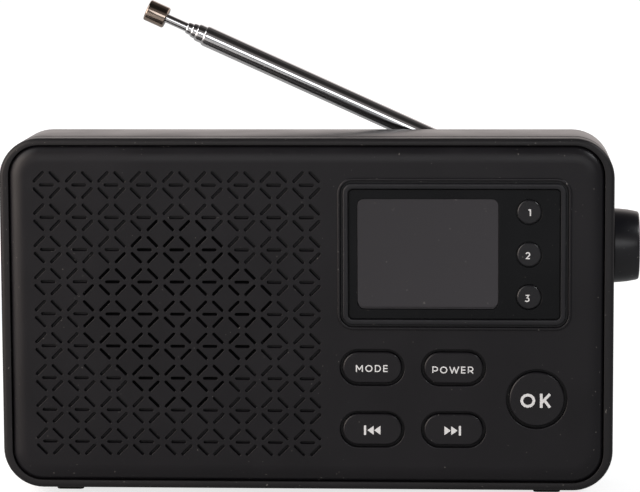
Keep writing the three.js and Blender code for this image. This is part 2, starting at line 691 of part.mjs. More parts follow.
// A flanged bush, pressed into the back, that the antenna's stem turns in.
function antennaSocket() {
  const bore = PIVOT_RADIUS + 0.1;
  const neck = 3;
  const profile = [
    [bore, 28.3], [neck, 28.3], [neck, BODY_DEPTH - 1.3], [5.2, BODY_DEPTH - 1.3],
    [5.2, BODY_DEPTH], [bore, BODY_DEPTH], [bore, 28.3],
  ];
  return piece("antenna_socket", turned(profile, ANTENNA_STEPS, ANTENNA_X, ANTENNA_Z), CHROME);
}

function antennaLead() {
  const route = [[64, 27.8, ANTENNA_Z], [64, 24, 88], [61, 19, 84], [58, 15.7, 80]];
  return piece("antenna_lead", wire(route, 0.5, 6), PAPER_BLACK);
}

// A cross-section in the XY plane, extruded between two heights of the antenna's own frame.
function cheek(shape, low, high) {
  const options = { depth: high - low, bevelEnabled: false, curveSegments: 5 };
  return solid(new THREE.ExtrudeGeometry(shape, options).translate(0, 0, low));
}

// A round eye about the pin that runs straight down to a foot, or along to the tube.
function eye(radius, toX, toY) {
  const shape = new THREE.Shape();
  if (toX === 0) {
    shape.moveTo(-radius, toY);
    shape.lineTo(radius, toY);
    shape.absarc(0, ROD_DEPTH, radius, 0, Math.PI);
  } else {
    shape.moveTo(toX, ROD_DEPTH - radius);
    shape.absarc(0, ROD_DEPTH, radius, -Math.PI / 2, Math.PI / 2);
    shape.lineTo(toX, ROD_DEPTH + radius);
  }
  return shape;
}

function pinHole() {
  return cheek(new THREE.Shape().absarc(0, ROD_DEPTH, PIN_RADIUS + 0.1, 0, 2 * Math.PI), -5, 5);
}

// The swivel: a stem, a round foot and two ears that hold the pin.
function antennaSwivel() {
  const foot = BODY_DEPTH + 0.1;
  const stem = [[0, 29], [PIVOT_RADIUS, 29], [PIVOT_RADIUS, foot]];
  const profile = [...stem, [4.6, foot], [4.6, foot + 0.8], [0, foot + 0.8]];
  const ears = [
    cheek(eye(EAR_RADIUS, 0, foot + 0.4), EAR_INNER, EAR_OUTER),
    cheek(eye(EAR_RADIUS, 0, foot + 0.4), -EAR_OUTER, -EAR_INNER),
  ];
  return piece("antenna_swivel", cut(join(turned(profile, ANTENNA_STEPS), ...ears), pinHole()), CHROME);
}

function antennaPin() {
  const head = EAR_OUTER + 0.1;
  const profile = [
    [0, -head - 0.4], [1.3, -head], [PIN_RADIUS, -head],
    [PIN_RADIUS, head], [1.3, head], [0, head + 0.4],
  ];
  const lathe = new THREE.LatheGeometry(profile.map(asPoint), 10).rotateX(Math.PI / 2);
  lathe.translate(0, ROD_DEPTH, 0);
  return piece("antenna_pin", solid(lathe), STEEL);
}

// A profile of [radius, distance from the pin] points turned about the rod's line, along -X.
function drawn(profile) {
  const lathe = new THREE.LatheGeometry(profile.map(asPoint), ANTENNA_STEPS).rotateZ(Math.PI / 2);
  return solid(lathe.translate(0, ROD_DEPTH, 0));
}

// The outer tube is plugged at the pin's end by the tongue that turns between the ears.
function outerTube() {
  const radius = TUBE_RADII[0];
  const bore = radius - TUBE_WALL;
  const end = TUBE_ENDS[0];
  const tube = drawn([
    [0, 3.4], [radius - 0.5, 3.4], [radius, 4], [radius, end], [bore, end], [bore, 6.5], [0, 6.5],
  ]);
  const tongue = cheek(eye(2, -4.5), -TONGUE_HALF, TONGUE_HALF);
  return piece("antenna_tube_1", cut(join(tube, tongue), pinHole()), CHROME);
}

function innerTube(number) {
  const radius = TUBE_RADII[number];
  const bore = radius - TUBE_WALL;
  const start = 6.6 + 0.4 * number;
  const end = TUBE_ENDS[number];
  const profile = [[bore, start], [radius, start], [radius, end], [bore, end], [bore, start]];
  return piece("antenna_tube_" + (number + 1), drawn(profile), CHROME);
}

function antennaRod() {
  const [start, end] = [13, TIP_START + 1.2];
  const profile = [[0, start], [ROD_RADIUS, start], [ROD_RADIUS, end], [0, end]];
  return piece("antenna_rod", drawn(profile), CHROME);
}

function antennaTip() {
  const bore = ROD_RADIUS + 0.1;
  const profile = [
    [bore, TIP_START], [TIP_RADIUS - 0.4, TIP_START], [TIP_RADIUS, TIP_START + 0.4],
    [TIP_RADIUS, TIP_END - 0.6], [TIP_RADIUS - 0.8, TIP_END], [0, TIP_END],
    [0, TIP_START + 1.5], [bore, TIP_START + 1.5], [bore, TIP_START],
  ];
  return piece("antenna_tip", drawn(profile), CHROME);
}

// The swivel's frame: the rod points along -X and is turned up by its raised angle.
function antenna() {
  const group = new THREE.Group();
  group.position.set(ANTENNA_X, 0, ANTENNA_Z);
  group.rotation.y = ANTENNA_RAISED;
  group.add(antennaSwivel(), antennaPin(), outerTube());
  group.add(innerTube(1), innerTube(2), innerTube(3), antennaRod(), antennaTip());
  return group;
}

// ---------------------------------------------------------------- battery

const CELL_Y = BAY_FLOOR + GAP + 0.2 + CELL_RADIUS;
const CELL_Z = (DOOR.bottom + DOOR.top) / 2;
const CELL_LEFT = DOOR.left + 1.2 + 3.6;

function batteryCell() {
  const right = CELL_LEFT + CELL_LENGTH;
  const profile = [
    [0, CELL_LEFT], [CELL_RADIUS - 0.6, CELL_LEFT], [CELL_RADIUS, CELL_LEFT + 0.6],
    [CELL_RADIUS, right - 1.8], [CELL_RADIUS - 0.8, right - 1.2], [3, right - 1.2], [3, right], [0, right],
  ];
  return piece("battery_cell", turnedAlongX(profile, 14, CELL_Y, CELL_Z), CELL_WRAP);
}

// A conical coil, widest on its plate.
function batterySpring() {
  const turns = 2;
  const steps = 12;
  const left = DOOR.left + 1.2 + GAP + 0.6;
  const length = 2.2;
  const points = Array.from({ length: steps + 1 }, (_, i) => {
    const share = i / steps;
    const angle = share * turns * 2 * Math.PI;
    const radius = 5 - 2.4 * share;
    return [left + length * share, CELL_Y + radius * Math.cos(angle), CELL_Z + radius * Math.sin(angle)];
  });
  const plate = box(left - 0.6, left - 0.1, CELL_Y - 6, CELL_Y + 6, CELL_Z - 6, CELL_Z + 6);
  return piece("battery_spring", join(wire(points, 0.35, steps), plate), STEEL);
}

function batteryContact() {
  const left = CELL_LEFT + CELL_LENGTH + GAP;
  const plate = box(left, left + 0.3, CELL_Y - 5, CELL_Y + 5, CELL_Z - 5, CELL_Z + 5);
  return piece("battery_contact", plate, STEEL);
}

// The door's left end is round about its hinge line, so it turns in place. A shallow scoop
// at the other end takes a fingernail.
function batteryDoor() {
  const radius = DOOR.thickness / 2;
  const axisX = DOOR.left + radius;
  const axisY = BULGE_DEPTH - radius;
  const plate = box(axisX, DOOR.right, BULGE_DEPTH - DOOR.thickness, BULGE_DEPTH, DOOR.bottom, DOOR.top);
  const knuckle = new THREE.CylinderGeometry(radius, radius, DOOR.top - DOOR.bottom, 12);
  knuckle.rotateX(Math.PI / 2).translate(axisX, axisY, CELL_Z);
  const mouth = BULGE_DEPTH + 0.1;
  const dish = [[0, BULGE_DEPTH - 0.9], [2.4, BULGE_DEPTH - 0.6], [4, mouth], [0, mouth]];
  const scoop = turned(dish, 12, DOOR.right - 7, CELL_Z);
  return piece("battery_door", cut(join(plate, solid(knuckle)), scoop), CASE_BLACK);
}

// ---------------------------------------------------------------- the assembled radio

const cabinet = new THREE.Group();
cabinet.position.set(-BOX_CENTRE_X, -BOX_CENTRE_Y, FOOT_HEIGHT - UNDERSIDE);
cabinet.add(frontBezel(), frontPanel(), rearCabinet(), ...feet(), ...caseScrews());
cabinet.add(displayFrame(), displayLens(), screenModule());
cabinet.add(...buttons(), ...switches(), keyBoard());
cabinet.add(mainBoard(), tunerModule(), headphoneSocket(), usbSocket());
cabinet.add(grilleCloth(), speakerBasket(), speakerMagnet(), speakerCone(), speakerLead());
cabinet.add(sideKnob(), ...encoder());
cabinet.add(antennaSocket(), antennaLead(), antenna());
cabinet.add(batteryCell(), batterySpring(), batteryContact(), batteryDoor());

const radio = new THREE.Group();
radio.add(cabinet);

export default radio;
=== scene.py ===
import math
import bmesh
import bpy
from mathutils import Matrix, Vector


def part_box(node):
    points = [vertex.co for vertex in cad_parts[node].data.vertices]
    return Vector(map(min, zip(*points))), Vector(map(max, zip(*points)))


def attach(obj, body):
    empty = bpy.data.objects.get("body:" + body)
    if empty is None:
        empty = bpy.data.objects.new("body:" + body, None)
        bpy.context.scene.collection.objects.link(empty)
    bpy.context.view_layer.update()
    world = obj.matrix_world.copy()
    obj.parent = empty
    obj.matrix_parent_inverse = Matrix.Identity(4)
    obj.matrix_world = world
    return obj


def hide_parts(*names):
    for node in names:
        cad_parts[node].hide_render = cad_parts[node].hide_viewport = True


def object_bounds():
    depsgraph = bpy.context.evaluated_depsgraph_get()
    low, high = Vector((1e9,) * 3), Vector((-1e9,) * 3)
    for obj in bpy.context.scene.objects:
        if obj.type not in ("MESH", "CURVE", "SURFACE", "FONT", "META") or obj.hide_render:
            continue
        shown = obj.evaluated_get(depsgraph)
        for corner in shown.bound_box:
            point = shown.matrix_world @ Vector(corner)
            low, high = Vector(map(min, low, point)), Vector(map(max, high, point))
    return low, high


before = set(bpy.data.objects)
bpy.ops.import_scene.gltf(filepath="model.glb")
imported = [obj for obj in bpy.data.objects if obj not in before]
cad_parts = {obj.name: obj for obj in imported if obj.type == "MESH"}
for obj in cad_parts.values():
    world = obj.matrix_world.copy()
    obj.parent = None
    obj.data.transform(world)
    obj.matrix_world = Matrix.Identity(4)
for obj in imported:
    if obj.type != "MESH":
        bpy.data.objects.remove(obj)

cad_low, cad_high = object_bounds()

# ------------------------------ front bezel
# The front half of the cabinet: a ring moulded in black ABS, with a rounded front edge, a ledge
# that the grille panel sits on, four bosses for the screws and a tongue that enters the rear
# half. Its face carries the fine grain of a spark-eroded mould.

MM = 0.001
RIGHT, BACK, QUARTER = (1, 0, 0), (0, 1, 0), math.pi / 2
BEZEL_FRONT, BEZEL_BACK, BEZEL_EDGE = 1, 8.4, 1.3
TONGUE_INSET, TONGUE_LENGTH = 1.3, 2.6
LEDGE_FRONT, LEDGE_BACK, LEDGE_INSET = 5, 7, 6
BOSS_BORE, BOSS_RADIUS, BOSS_BACK = 1.7, 3.2, 14
UNDERSIDE = -0.4
bezel_low, bezel_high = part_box("front_bezel")
CABINET_WIDTH = (bezel_high.x - bezel_low.x) / MM
CABINET_TOP = UNDERSIDE + (bezel_high.z - bezel_low.z) / MM
CORNER_RADIUS = 11.8
PANEL_WIDTH, PANEL_HEIGHT, PANEL_RADIUS, PANEL_Z = 175, 99.8, 9, 51.95
PANEL_GROOVE = 0.14
WALL, EDGE = 2.4, 0.2
SCREW_X, SCREW_LOW = 81, 9
DUST_GREY = (150, 146, 140)
SCREW_PLACES = [(x, z) for z in (CABINET_TOP - SCREW_LOW, SCREW_LOW) for x in (-SCREW_X, SCREW_X)]


def in_frame(x, y, z):
    """A point of the cabinet in its own millimetres: across from the middle, back from the grille
    panel's face, and up from a level just above the underside."""
    middle = (bezel_low.x + bezel_high.x) / 2
    return Vector((middle + x * MM, bezel_low.y + (y - BEZEL_FRONT) * MM,
                   bezel_low.z + (z - UNDERSIDE) * MM))


def rounded(width, height, radius, x, z, steps=14):
    """A rectangle with round corners: a function from an inset to its (across, up) points."""
    def outline(inset):
        half_width, half_height, corner = width / 2 - inset, height / 2 - inset, radius - inset
        points = []
        for quarter, (side, end) in enumerate([(1, 1), (-1, 1), (-1, -1), (1, -1)]):
            for step in range(steps + 1):
                angle = (quarter + step / steps) * QUARTER
                across = side * (half_width - corner) + corner * math.cos(angle)
                points.append((x + across, z + end * (half_height - corner) + corner * math.sin(angle)))
        return points
    return outline


def arc(middle, radius, start, end, steps=5):
    """Points on part of a circle, or of an ellipse with two radii. The angles are in degrees."""
    wide, tall = radius if isinstance(radius, tuple) else (radius, radius)
    turns = [math.radians(start + (end - start) * step / steps) for step in range(steps + 1)]
    return [(middle[0] + wide * math.cos(t), middle[1] + tall * math.sin(t)) for t in turns]


def skin(rings, ends="closed"):
    """Faces between rings of points: ends are 'closed' by flat caps, 'open', or joined in a 'loop'."""
    count = len(rings[0])
    points = [point for ring in rings for point in ring]
    faces = []
    for ring in range(len(rings) if ends == "loop" else len(rings) - 1):
        start, after = ring * count, (ring + 1) % len(rings) * count
        for i in range(count):
            j = (i + 1) % count
            faces.append((start + i, start + j, after + j, after + i))
    if ends == "closed":
        faces.append(tuple(range(count)))
        faces.append(tuple(range(len(points) - count, len(points))))
    return points, faces


def upright(outline, y):
    return [(x, y, z) for x, z in outline]


def loft(outline, profile, ends="closed"):
    """An outline that takes an inset, carried through a profile of (inset, depth) points."""
    return skin([upright(outline(inset), y) for inset, y in profile], ends)


def turned(profile, start, along, steps=40, ends="closed"):
    """A profile of (radius, distance) points turned about the line from start along a direction."""
    start, along = Vector(start), Vector(along).normalized()
    side = along.orthogonal().normalized()
    other = along.cross(side)
    rings = []
    for radius, distance in profile:
        turns = [2 * math.pi * step / steps for step in range(steps)]
        out = [side * math.cos(t) + other * math.sin(t) for t in turns]
        rings.append([tuple(start + along * distance + ray * radius) for ray in out])
    return skin(rings, ends)


def placed(name, data):
    """A new object of the scene."""
    made = bpy.data.objects.new(name, data)
    bpy.context.scene.collection.objects.link(made)
    return made


def mesh_object(name, shapes, crease=35):
    """One object of closed shapes, smooth except over edges sharper than the crease."""
    body = bmesh.new()
    for points, faces in shapes:
        corners = [body.verts.new(in_frame(*point)) for point in points]
        for face in faces:
            body.faces.new([corners[i] for i in face])
    bmesh.ops.remove_doubles(body, verts=body.verts, dist=0.5e-6)
    bmesh.ops.dissolve_degenerate(body, edges=body.edges, dist=0.5e-6)
    bmesh.ops.recalc_face_normals(body, faces=body.faces)
    mesh = bpy.data.meshes.new(name)
    body.to_mesh(mesh)
    body.free()
    return shade(placed(name, mesh), crease)


def shade(made, crease=35):
    """Soft shading on curved faces only, and a crisp line at each edge."""
    body = bmesh.new()
    body.from_mesh(made.data)
    for edge in body.edges:
        edge.smooth = len(edge.link_faces) == 2 and edge.calc_face_angle(0) < math.radians(crease)
    for face in body.faces:
        face.smooth = len(face.verts) <= 4
    body.to_mesh(made.data)
    body.free()
    return made


def fit(made, material, body, slot, *nodes):
    """The piece's material, the body that it rides on and the solids that it stands for."""
    if material:
        made.data.materials.clear()
        made.data.materials.append(material)
    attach(made, body)
    if nodes:
        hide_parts(*nodes)
    return made


def piece(name, shapes, material, body, slot, *nodes):
    return fit(mesh_object(name, shapes), material, body, slot, *nodes)


def tone(red, green, blue):
    """A colour from 0 to 255, as the shaders take it."""
    channels = [c / 255 for c in (red, green, blue)]
    return [c / 12.92 if c < 0.04 else ((c + 0.055) / 1.055) ** 2.4 for c in channels] + [1]


def connect(node, inputs):
    """Inputs set to values, or joined to a socket or to the first output of another node."""
    for socket, value in inputs.items():
        if isinstance(value, bpy.types.Node):
            value = value.outputs[0]
        if isinstance(value, bpy.types.NodeSocket):
            node.id_data.links.new(value, node.inputs[socket])
        else:
            node.inputs[socket].default_value = value


def configured(thing, **settings):
    """The same thing, with its settings made."""
    for name, value in settings.items():
        setattr(thing, name, value)
    return thing


def wiring(tree, family):
    """A function that adds nodes of one family to the tree, with their settings and inputs."""
    def add(kind, inputs=None, **settings):
        node = configured(tree.nodes.new(family + kind), **settings)
        connect(node, inputs or {})
        return node
    return add


def new_material(name):
    """A material, its shader, the function that adds its nodes and the piece's own coordinates."""
    material = bpy.data.materials.new(name)
    material.use_nodes = True
    add = wiring(material.node_tree, "ShaderNode")
    shader = material.node_tree.nodes["Principled BSDF"]
    return material, shader, add, add("TexCoord").outputs["Object"]


def noise(add, place, scale, detail):
    return add("TexNoise", {"Vector": place, "Scale": scale, "Detail": detail})


def remap(add, value, low, high, first, last):
    """The range from low to high stretched to run from first to last."""
    return add("MapRange", {0: value, 1: low, 2: high, 3: first, 4: last})


def shaded(add, colour, factor):
    return add("VectorMath", {0: tone(*colour)[:3], "Scale": factor}, operation="SCALE")


def blend(add, factor, first, second):
    mix = add("Mix", {"Factor": factor, "A": first, "B": second}, data_type="RGBA")
    return mix.outputs["Result"]


def bump(add, height, strength, depth):
    return add("Bump", {"Strength": strength, "Distance": depth * MM, "Height": height})


def moulded_plastic(name, colour, roughness, specular, grain=0.35, grain_size=0.35):
    """Moulded plastic with a grained face, a little dust and faintly uneven gloss."""
    material, shader, add, place = new_material(name)
    fine = noise(add, place, 1 / (grain_size * MM), 2)
    cloud = noise(add, place, 45, 3)
    dust = remap(add, noise(add, place, 1500, 0), 0.82, 0.88, 0, 0.3)
    plastic = shaded(add, colour, remap(add, cloud, 0.3, 0.7, 0.9, 1.1))
    connect(shader, {
        "Base Color": blend(add, dust, plastic, tone(*DUST_GREY)),
        "Roughness": remap(add, cloud, 0.3, 0.7, roughness - 0.04, roughness + 0.04),
        "Normal": bump(add, fine, grain, 0.02),
        "Specular IOR Level": specular,
    })
    return material


cabinet_outline = rounded(CABINET_WIDTH, CABINET_TOP - UNDERSIDE, CORNER_RADIUS,
                          0, (CABINET_TOP + UNDERSIDE) / 2)
panel_outline = rounded(PANEL_WIDTH, PANEL_HEIGHT, PANEL_RADIUS, 0, PANEL_Z)
bezel_black = moulded_plastic("bezel_black", (19, 18, 20), 0.46, 0.25)
outside = [
    *arc((BEZEL_EDGE, BEZEL_FRONT + BEZEL_EDGE), BEZEL_EDGE, 270, 180, 8),
    *arc((EDGE, BEZEL_BACK - EDGE), EDGE, 180, 90, 3),
    (TONGUE_INSET, BEZEL_BACK), (TONGUE_INSET, BEZEL_BACK + TONGUE_LENGTH),
    (WALL, BEZEL_BACK + TONGUE_LENGTH), (WALL, LEDGE_BACK),
    (LEDGE_INSET, LEDGE_BACK), (LEDGE_INSET, LEDGE_FRONT),
]
opening = [(-PANEL_GROOVE, LEDGE_FRONT),
           *arc((-PANEL_GROOVE - EDGE, BEZEL_FRONT + EDGE), EDGE, 0, -90, 3)]
ring = [upright(cabinet_outline(inset), y) for inset, y in outside]
ring += [upright(panel_outline(inset), y) for inset, y in opening]
boss_profile = [(BOSS_BORE, LEDGE_BACK), (BOSS_RADIUS, LEDGE_BACK),
                (BOSS_RADIUS, BOSS_BACK), (BOSS_BORE, BOSS_BACK)]
bosses = [turned(boss_profile, (x, 0, z), BACK, 20, "loop") for x, z in SCREW_PLACES]
piece("front_bezel_shell", [skin(ring, "loop"), *bosses], bezel_black,
      "radio_case", "case_plastic", "front_bezel")

# ------------------------------ grille panel
# One pillow-edged moulding in the same black ABS. A lattice of 9 by 9 diamonds, each of four
# slanted slits round a level one, is cut through in front of the speaker and left blind
# elsewhere. A thin bead runs round the opening of the display. A ring behind it centres the
# loudspeaker, and four posts carry the board of the switches.

PILLOW_STEPS = [(9, 0, 16, 5), (4.6, 16, 45, 9), (1.6, 45, 80, 5)]
PANEL_BACK, RIM_BACK, RIM_WALL = 2.4, 4.7, 1.6
PITCH, COUNT = 9.565, 9
LATTICE_X, LATTICE_Z = -76.12, 90.38
SLIT_LENGTH, SLIT_WIDTH, SLIT_LIP, SLIT_DEPTH = 4.4, 0.88, 0.1, 1.6
SOUND_REACH, SOUND_SLANT = 27.5, 36
SPEAKER = (LATTICE_X + (COUNT - 1) / 2 * PITCH, LATTICE_Z - (COUNT - 1) / 2 * PITCH)
RING_INNER, RING_OUTER, RING_BACK = 29.8, 31, 6
BOARD_POSTS = [(6.5, 95.5), (75, 95.5), (6.5, 10), (75, 10)]
POST_RADIUS, POST_BACK = 2.2, 7.7
DISPLAY = (43.65, 70.1)
FRAME_WIDTH, FRAME_HEIGHT, FRAME_RADIUS = 65.4, 41.8, 3
KEY_CLEARANCE, KEY_LIP = 0.84, 0.25
KEY_X, KEY_Z, KEY_SIZE = (19.55, 43.5), (36.4, 17.95), (17.4, 9.2)
OK_PLACE, OK_SIZE = (67.95, 27.2), (16.3, 16.1)
# Each key is its middle across and up, its width and its height.
LARGE_KEYS = {
    "mode": (KEY_X[0], KEY_Z[0], *KEY_SIZE), "power": (KEY_X[1], KEY_Z[0], *KEY_SIZE),
    "previous": (KEY_X[0], KEY_Z[1], *KEY_SIZE), "next": (KEY_X[1], KEY_Z[1], *KEY_SIZE),
    "ok": (*OK_PLACE, *OK_SIZE),
}


def pillow_profile(inset, depth):
    """The edge's curve from the flat face outwards: arcs of (radius, first tilt, last tilt, steps)."""
    points = []
    for radius, first, last, steps in PILLOW_STEPS:
        tilt = math.radians(first)
        middle = inset + radius * math.sin(tilt), depth + radius * math.cos(tilt)
        points += arc(middle, radius, -90 - first, -90 - last, steps)
        inset, depth = points[-1]
    return points


def stadium(x, z, width, height, steps=18):
    """Two half circles joined by straight sides: a function from an inset to its points."""
    def outline(inset):
        radius, half = height / 2 - inset, (width - height) / 2
        ends = arc((x + half, z), radius, -90, 90, steps)
        return ends + arc((x - half, z), radius, 90, 270, steps)
    return outline


def template(name, points, faces=(), edges=(), centred=False):
    """An unseen object for a node tree: faces, or edges or points alone where it has no faces."""
    mesh = bpy.data.meshes.new(name)
    shift = in_frame(0, 0, 0) if centred else Vector()
    mesh.from_pydata([in_frame(*point) - shift for point in points], edges, faces)
    return placed(name, mesh)


def edge_loops(outlines, y):
    """Points and the edges between them, without faces."""
    points, edges = [], []
    for outline in outlines:
        start, count = len(points), len(outline)
        points += upright(outline, y)
        edges += [(start + i, start + (i + 1) % count) for i in range(count)]
    return points, (), edges


def new_tree(name, inputs):
    """A geometry tree with named inputs: the tree, the functions that add its nodes, its inputs."""
    tree = bpy.data.node_groups.new(name, "GeometryNodeTree")
    for label, kind in inputs.items():
        tree.interface.new_socket(label, in_out="INPUT", socket_type="NodeSocket" + kind)
    tree.interface.new_socket("Geometry", in_out="OUTPUT", socket_type="NodeSocketGeometry")
    given = tree.nodes.new("NodeGroupInput").outputs
    return tree, wiring(tree, "GeometryNode"), wiring(tree, "ShaderNode"), given


def finish_tree(tree, geometry, material):
    """The tree's last steps: its copies made real, their material, and the output."""
    shape = wiring(tree, "GeometryNode")
    real = shape("RealizeInstances", {"Geometry": geometry})
    connect(tree.nodes.new("NodeGroupOutput"), {
        0: shape("SetMaterial", {"Geometry": real, "Material": material})})
    return tree


def maths(add, operation, *values, kind="Math"):
    return add(kind, dict(enumerate(values)), operation=operation)


def together(shape, *parts):
    group = shape("JoinGeometry")
    for part in parts:
        connect(group, {0: part})
    return group


def moved(shape, geometry, tilt, turn=0, place=(0, 0, 0)):
    """The geometry tilted about X, turned about Y and carried to a place."""
    return shape("Transform", {"Geometry": geometry, "Rotation": (tilt, turn, 0), "Translation": place})


def object_shape(shape, made):
    return shape("ObjectInfo", {"Object": made}).outputs["Geometry"]


def slit_points(shape, value, given):
    """The place and turn of each slit: four round each diamond and a level one in its middle."""
    reach = maths(value, "MULTIPLY", given["Pitch"], math.sqrt(2) / 4)
    circle = moved(shape, shape("MeshCircle", {"Vertices": 4, "Radius": reach}), QUARTER, QUARTER / 2)
    where = value("SeparateXYZ", {0: shape("InputPosition")}).outputs
    turn = maths(value, "SUBTRACT", -QUARTER, maths(value, "ARCTAN2", where["Z"], where["X"]))
    slanted = shape("StoreNamedAttribute", {"Geometry": circle, "Name": "turn", "Value": turn})
    cell = together(shape, slanted, shape("MeshLine", {"Count": 1}))
    span = maths(value, "MULTIPLY", given["Pitch"], maths(value, "SUBTRACT", given["Count"], 1))
    grid = shape("MeshGrid", {"Size X": span, "Size Y": span,
                              "Vertices X": given["Count"], "Vertices Y": given["Count"]})
    lattice = moved(shape, grid, QUARTER, place=given["Middle"])
    cells = shape("InstanceOnPoints", {"Points": lattice, "Instance": cell})
    return shape("RealizeInstances", {"Geometry": cells})


def perforated_sheet():
    """The node tree: two sheets filled between the edges and the slits, and the walls of the slits."""
    tree, shape, value, given = new_tree("perforated_sheet", {
        "Pitch": "Float", "Count": "Int", "Middle": "Vector", "Sound Reach": "Float",
        "Sound Slant": "Float", "Front Face": "Vector", "Back Face": "Vector",
        "Plastic": "Material", **dict.fromkeys(templates, "Object")})
    points = slit_points(shape, value, given)
    about_y = value("CombineXYZ", {"Y": shape("InputNamedAttribute", {"Name": "turn"})})
    rotation = wiring(tree, "FunctionNode")("EulerToRotation", {0: about_y})
    away = maths(value, "SUBTRACT", shape("InputPosition"), given["Middle"], kind="VectorMath")
    apart = value("SeparateXYZ", {0: maths(value, "ABSOLUTE", away, kind="VectorMath")}).outputs
    across, up = apart["X"], apart["Z"]
    near = maths(value, "LESS_THAN", maths(value, "MAXIMUM", across, up), given["Sound Reach"])
    inside = maths(value, "LESS_THAN", maths(value, "ADD", across, up), given["Sound Slant"])
    through = maths(value, "MULTIPLY", near, inside)
    blind = maths(value, "SUBTRACT", 1, through)

    def at_slits(name, **selection):
        inputs = {"Points": points, "Instance": object_shape(shape, given[name]),
                  "Rotation": rotation, **selection}
        return shape("RealizeInstances", {"Geometry": shape("InstanceOnPoints", inputs)})

    def sheet(edges, slits, face):
        loops = together(shape, object_shape(shape, given[edges]), slits)
        curves = shape("MeshToCurve", {"Mesh": loops})
        filled = shape("FillCurve", {"Curve": moved(shape, curves, -QUARTER)})
        return moved(shape, filled, QUARTER, place=given[face])

    whole = together(shape,
                     sheet("Front Edges", at_slits("Front Slit"), "Front Face"),
                     sheet("Back Edges", at_slits("Back Slit", Selection=through), "Back Face"),
                     at_slits("Through Wall", Selection=through),
                     at_slits("Blind Wall", Selection=blind))
    return finish_tree(tree, whole, given["Plastic"])


def settled(base):
    """The base's mesh as its modifiers leave it, with nothing live on it."""
    graph = bpy.context.evaluated_depsgraph_get()
    mesh = bpy.data.meshes.new_from_object(base.evaluated_get(graph))
    base.modifiers.clear()
    base.data = mesh
    return base


def grown(made, tree, values):
    """The mesh that a node tree makes on an object."""
    modifier = configured(made.modifiers.new("shape", "NODES"), node_group=tree)
    for item in tree.interface.items_tree:
        if item.in_out == "INPUT" and item.name in values:
            modifier[item.identifier] = values[item.name]
    return settled(made)


around_display = rounded(FRAME_WIDTH, FRAME_HEIGHT, FRAME_RADIUS, *DISPLAY, 10)
slit_outline = stadium(0, 0, SLIT_LENGTH, SLIT_WIDTH, 5)
panel_plastic = moulded_plastic("panel_black", (17, 16, 19), 0.38, 0.22)
PILLOW_WIDTH = -pillow_profile(0, 0)[-1][0]
pillow = pillow_profile(PILLOW_WIDTH, 0)
rim = [(0, RIM_BACK), (RIM_WALL, RIM_BACK), (RIM_WALL, PANEL_BACK)]
pillow_edge = loft(panel_outline, [*pillow, *rim], "open")
key_wall = [(across - KEY_CLEARANCE - KEY_LIP, depth)
            for across, depth in arc((0, KEY_LIP), KEY_LIP, -90, 0, 4)]
key_wall += [(-KEY_CLEARANCE, PANEL_BACK)]
key_walls = [loft(stadium(*key), key_wall, "open") for key in LARGE_KEYS.values()]
bead = [*arc((1.1, 0), (0.5, 0.4), 0, -90, 7), *arc((0.98, -0.12), 0.28, -90, -180, 5),
        (0.7, PANEL_BACK)]
bead = [(-out, depth) for out, depth in bead]
display_wall = loft(around_display, bead, "open")
slit_lip = [(-SLIT_LIP, 0), (-SLIT_LIP * 0.3, SLIT_LIP * 0.3), (0, SLIT_LIP)]
through_wall = loft(slit_outline, [*slit_lip, (0, PANEL_BACK)], "open")
blind_points, blind_faces = loft(slit_outline, [*slit_lip, (0.17, SLIT_DEPTH)])
del blind_faces[-2]


def sheet_edges(name, at_rim, end, y):
    """The edges of one sheet: the panel's own, the display's and the keys', at one end of their walls."""
    loops = [panel_outline(at_rim), around_display(bead[end][0])]
    loops += [stadium(*key)(key_wall[end][0]) for key in LARGE_KEYS.values()]
    return template(name, *edge_loops(loops, y))


templates = {
    "Front Edges": sheet_edges("front_edges", PILLOW_WIDTH, 0, 0),
    "Back Edges": sheet_edges("back_edges", RIM_WALL, -1, PANEL_BACK),
    "Front Slit": template("front_slit", *edge_loops([slit_outline(-SLIT_LIP)], 0), centred=True),
    "Back Slit": template("back_slit", *edge_loops([slit_outline(0)], PANEL_BACK), centred=True),
    "Through Wall": template("through_wall", *through_wall, centred=True),
    "Blind Wall": template("blind_wall", blind_points, blind_faces, centred=True),
}
sizes = {"Pitch": PITCH * MM, "Count": COUNT, "Middle": in_frame(SPEAKER[0], 0, SPEAKER[1]),
         "Sound Reach": SOUND_REACH * MM, "Sound Slant": SOUND_SLANT * MM, "Plastic": panel_plastic,
         "Front Face": (0, in_frame(0, 0, 0).y, 0), "Back Face": (0, in_frame(0, PANEL_BACK, 0).y, 0)}
sheets = grown(template("sheets", []), perforated_sheet(), {**sizes, **templates})
ring_profile = [(RING_INNER, PANEL_BACK - 0.1), (RING_OUTER, PANEL_BACK - 0.1),
                (RING_OUTER, RING_BACK), (RING_INNER, RING_BACK)]
speaker_ring = turned(ring_profile, (SPEAKER[0], 0, SPEAKER[1]), BACK, 64, "loop")
post_profile = [(POST_RADIUS, PANEL_BACK - 0.1), (POST_RADIUS, POST_BACK)]
board_posts = [turned(post_profile, (x, 0, z), BACK, 24) for x, z in BOARD_POSTS]
walls = [pillow_edge, display_wall, speaker_ring, *key_walls, *board_posts]
front_panel = mesh_object("front_panel_moulding", walls)
panel_mesh = bmesh.new()
panel_mesh.from_mesh(front_panel.data)
panel_mesh.from_mesh(sheets.data)
bmesh.ops.remove_doubles(panel_mesh, verts=panel_mesh.verts, dist=2e-6)
bmesh.ops.recalc_face_normals(panel_mesh, faces=panel_mesh.faces)
panel_mesh.to_mesh(front_panel.data)
panel_mesh.free()
for unseen in [*templates.values(), sheets]:
    bpy.data.objects.remove(unseen)
shade(front_panel)
for face in front_panel.data.polygons:
    face.use_smooth = face.use_smooth and abs(face.normal.y) < 0.9999
fit(front_panel, panel_plastic, "radio_case", "case_plastic", "front_panel")

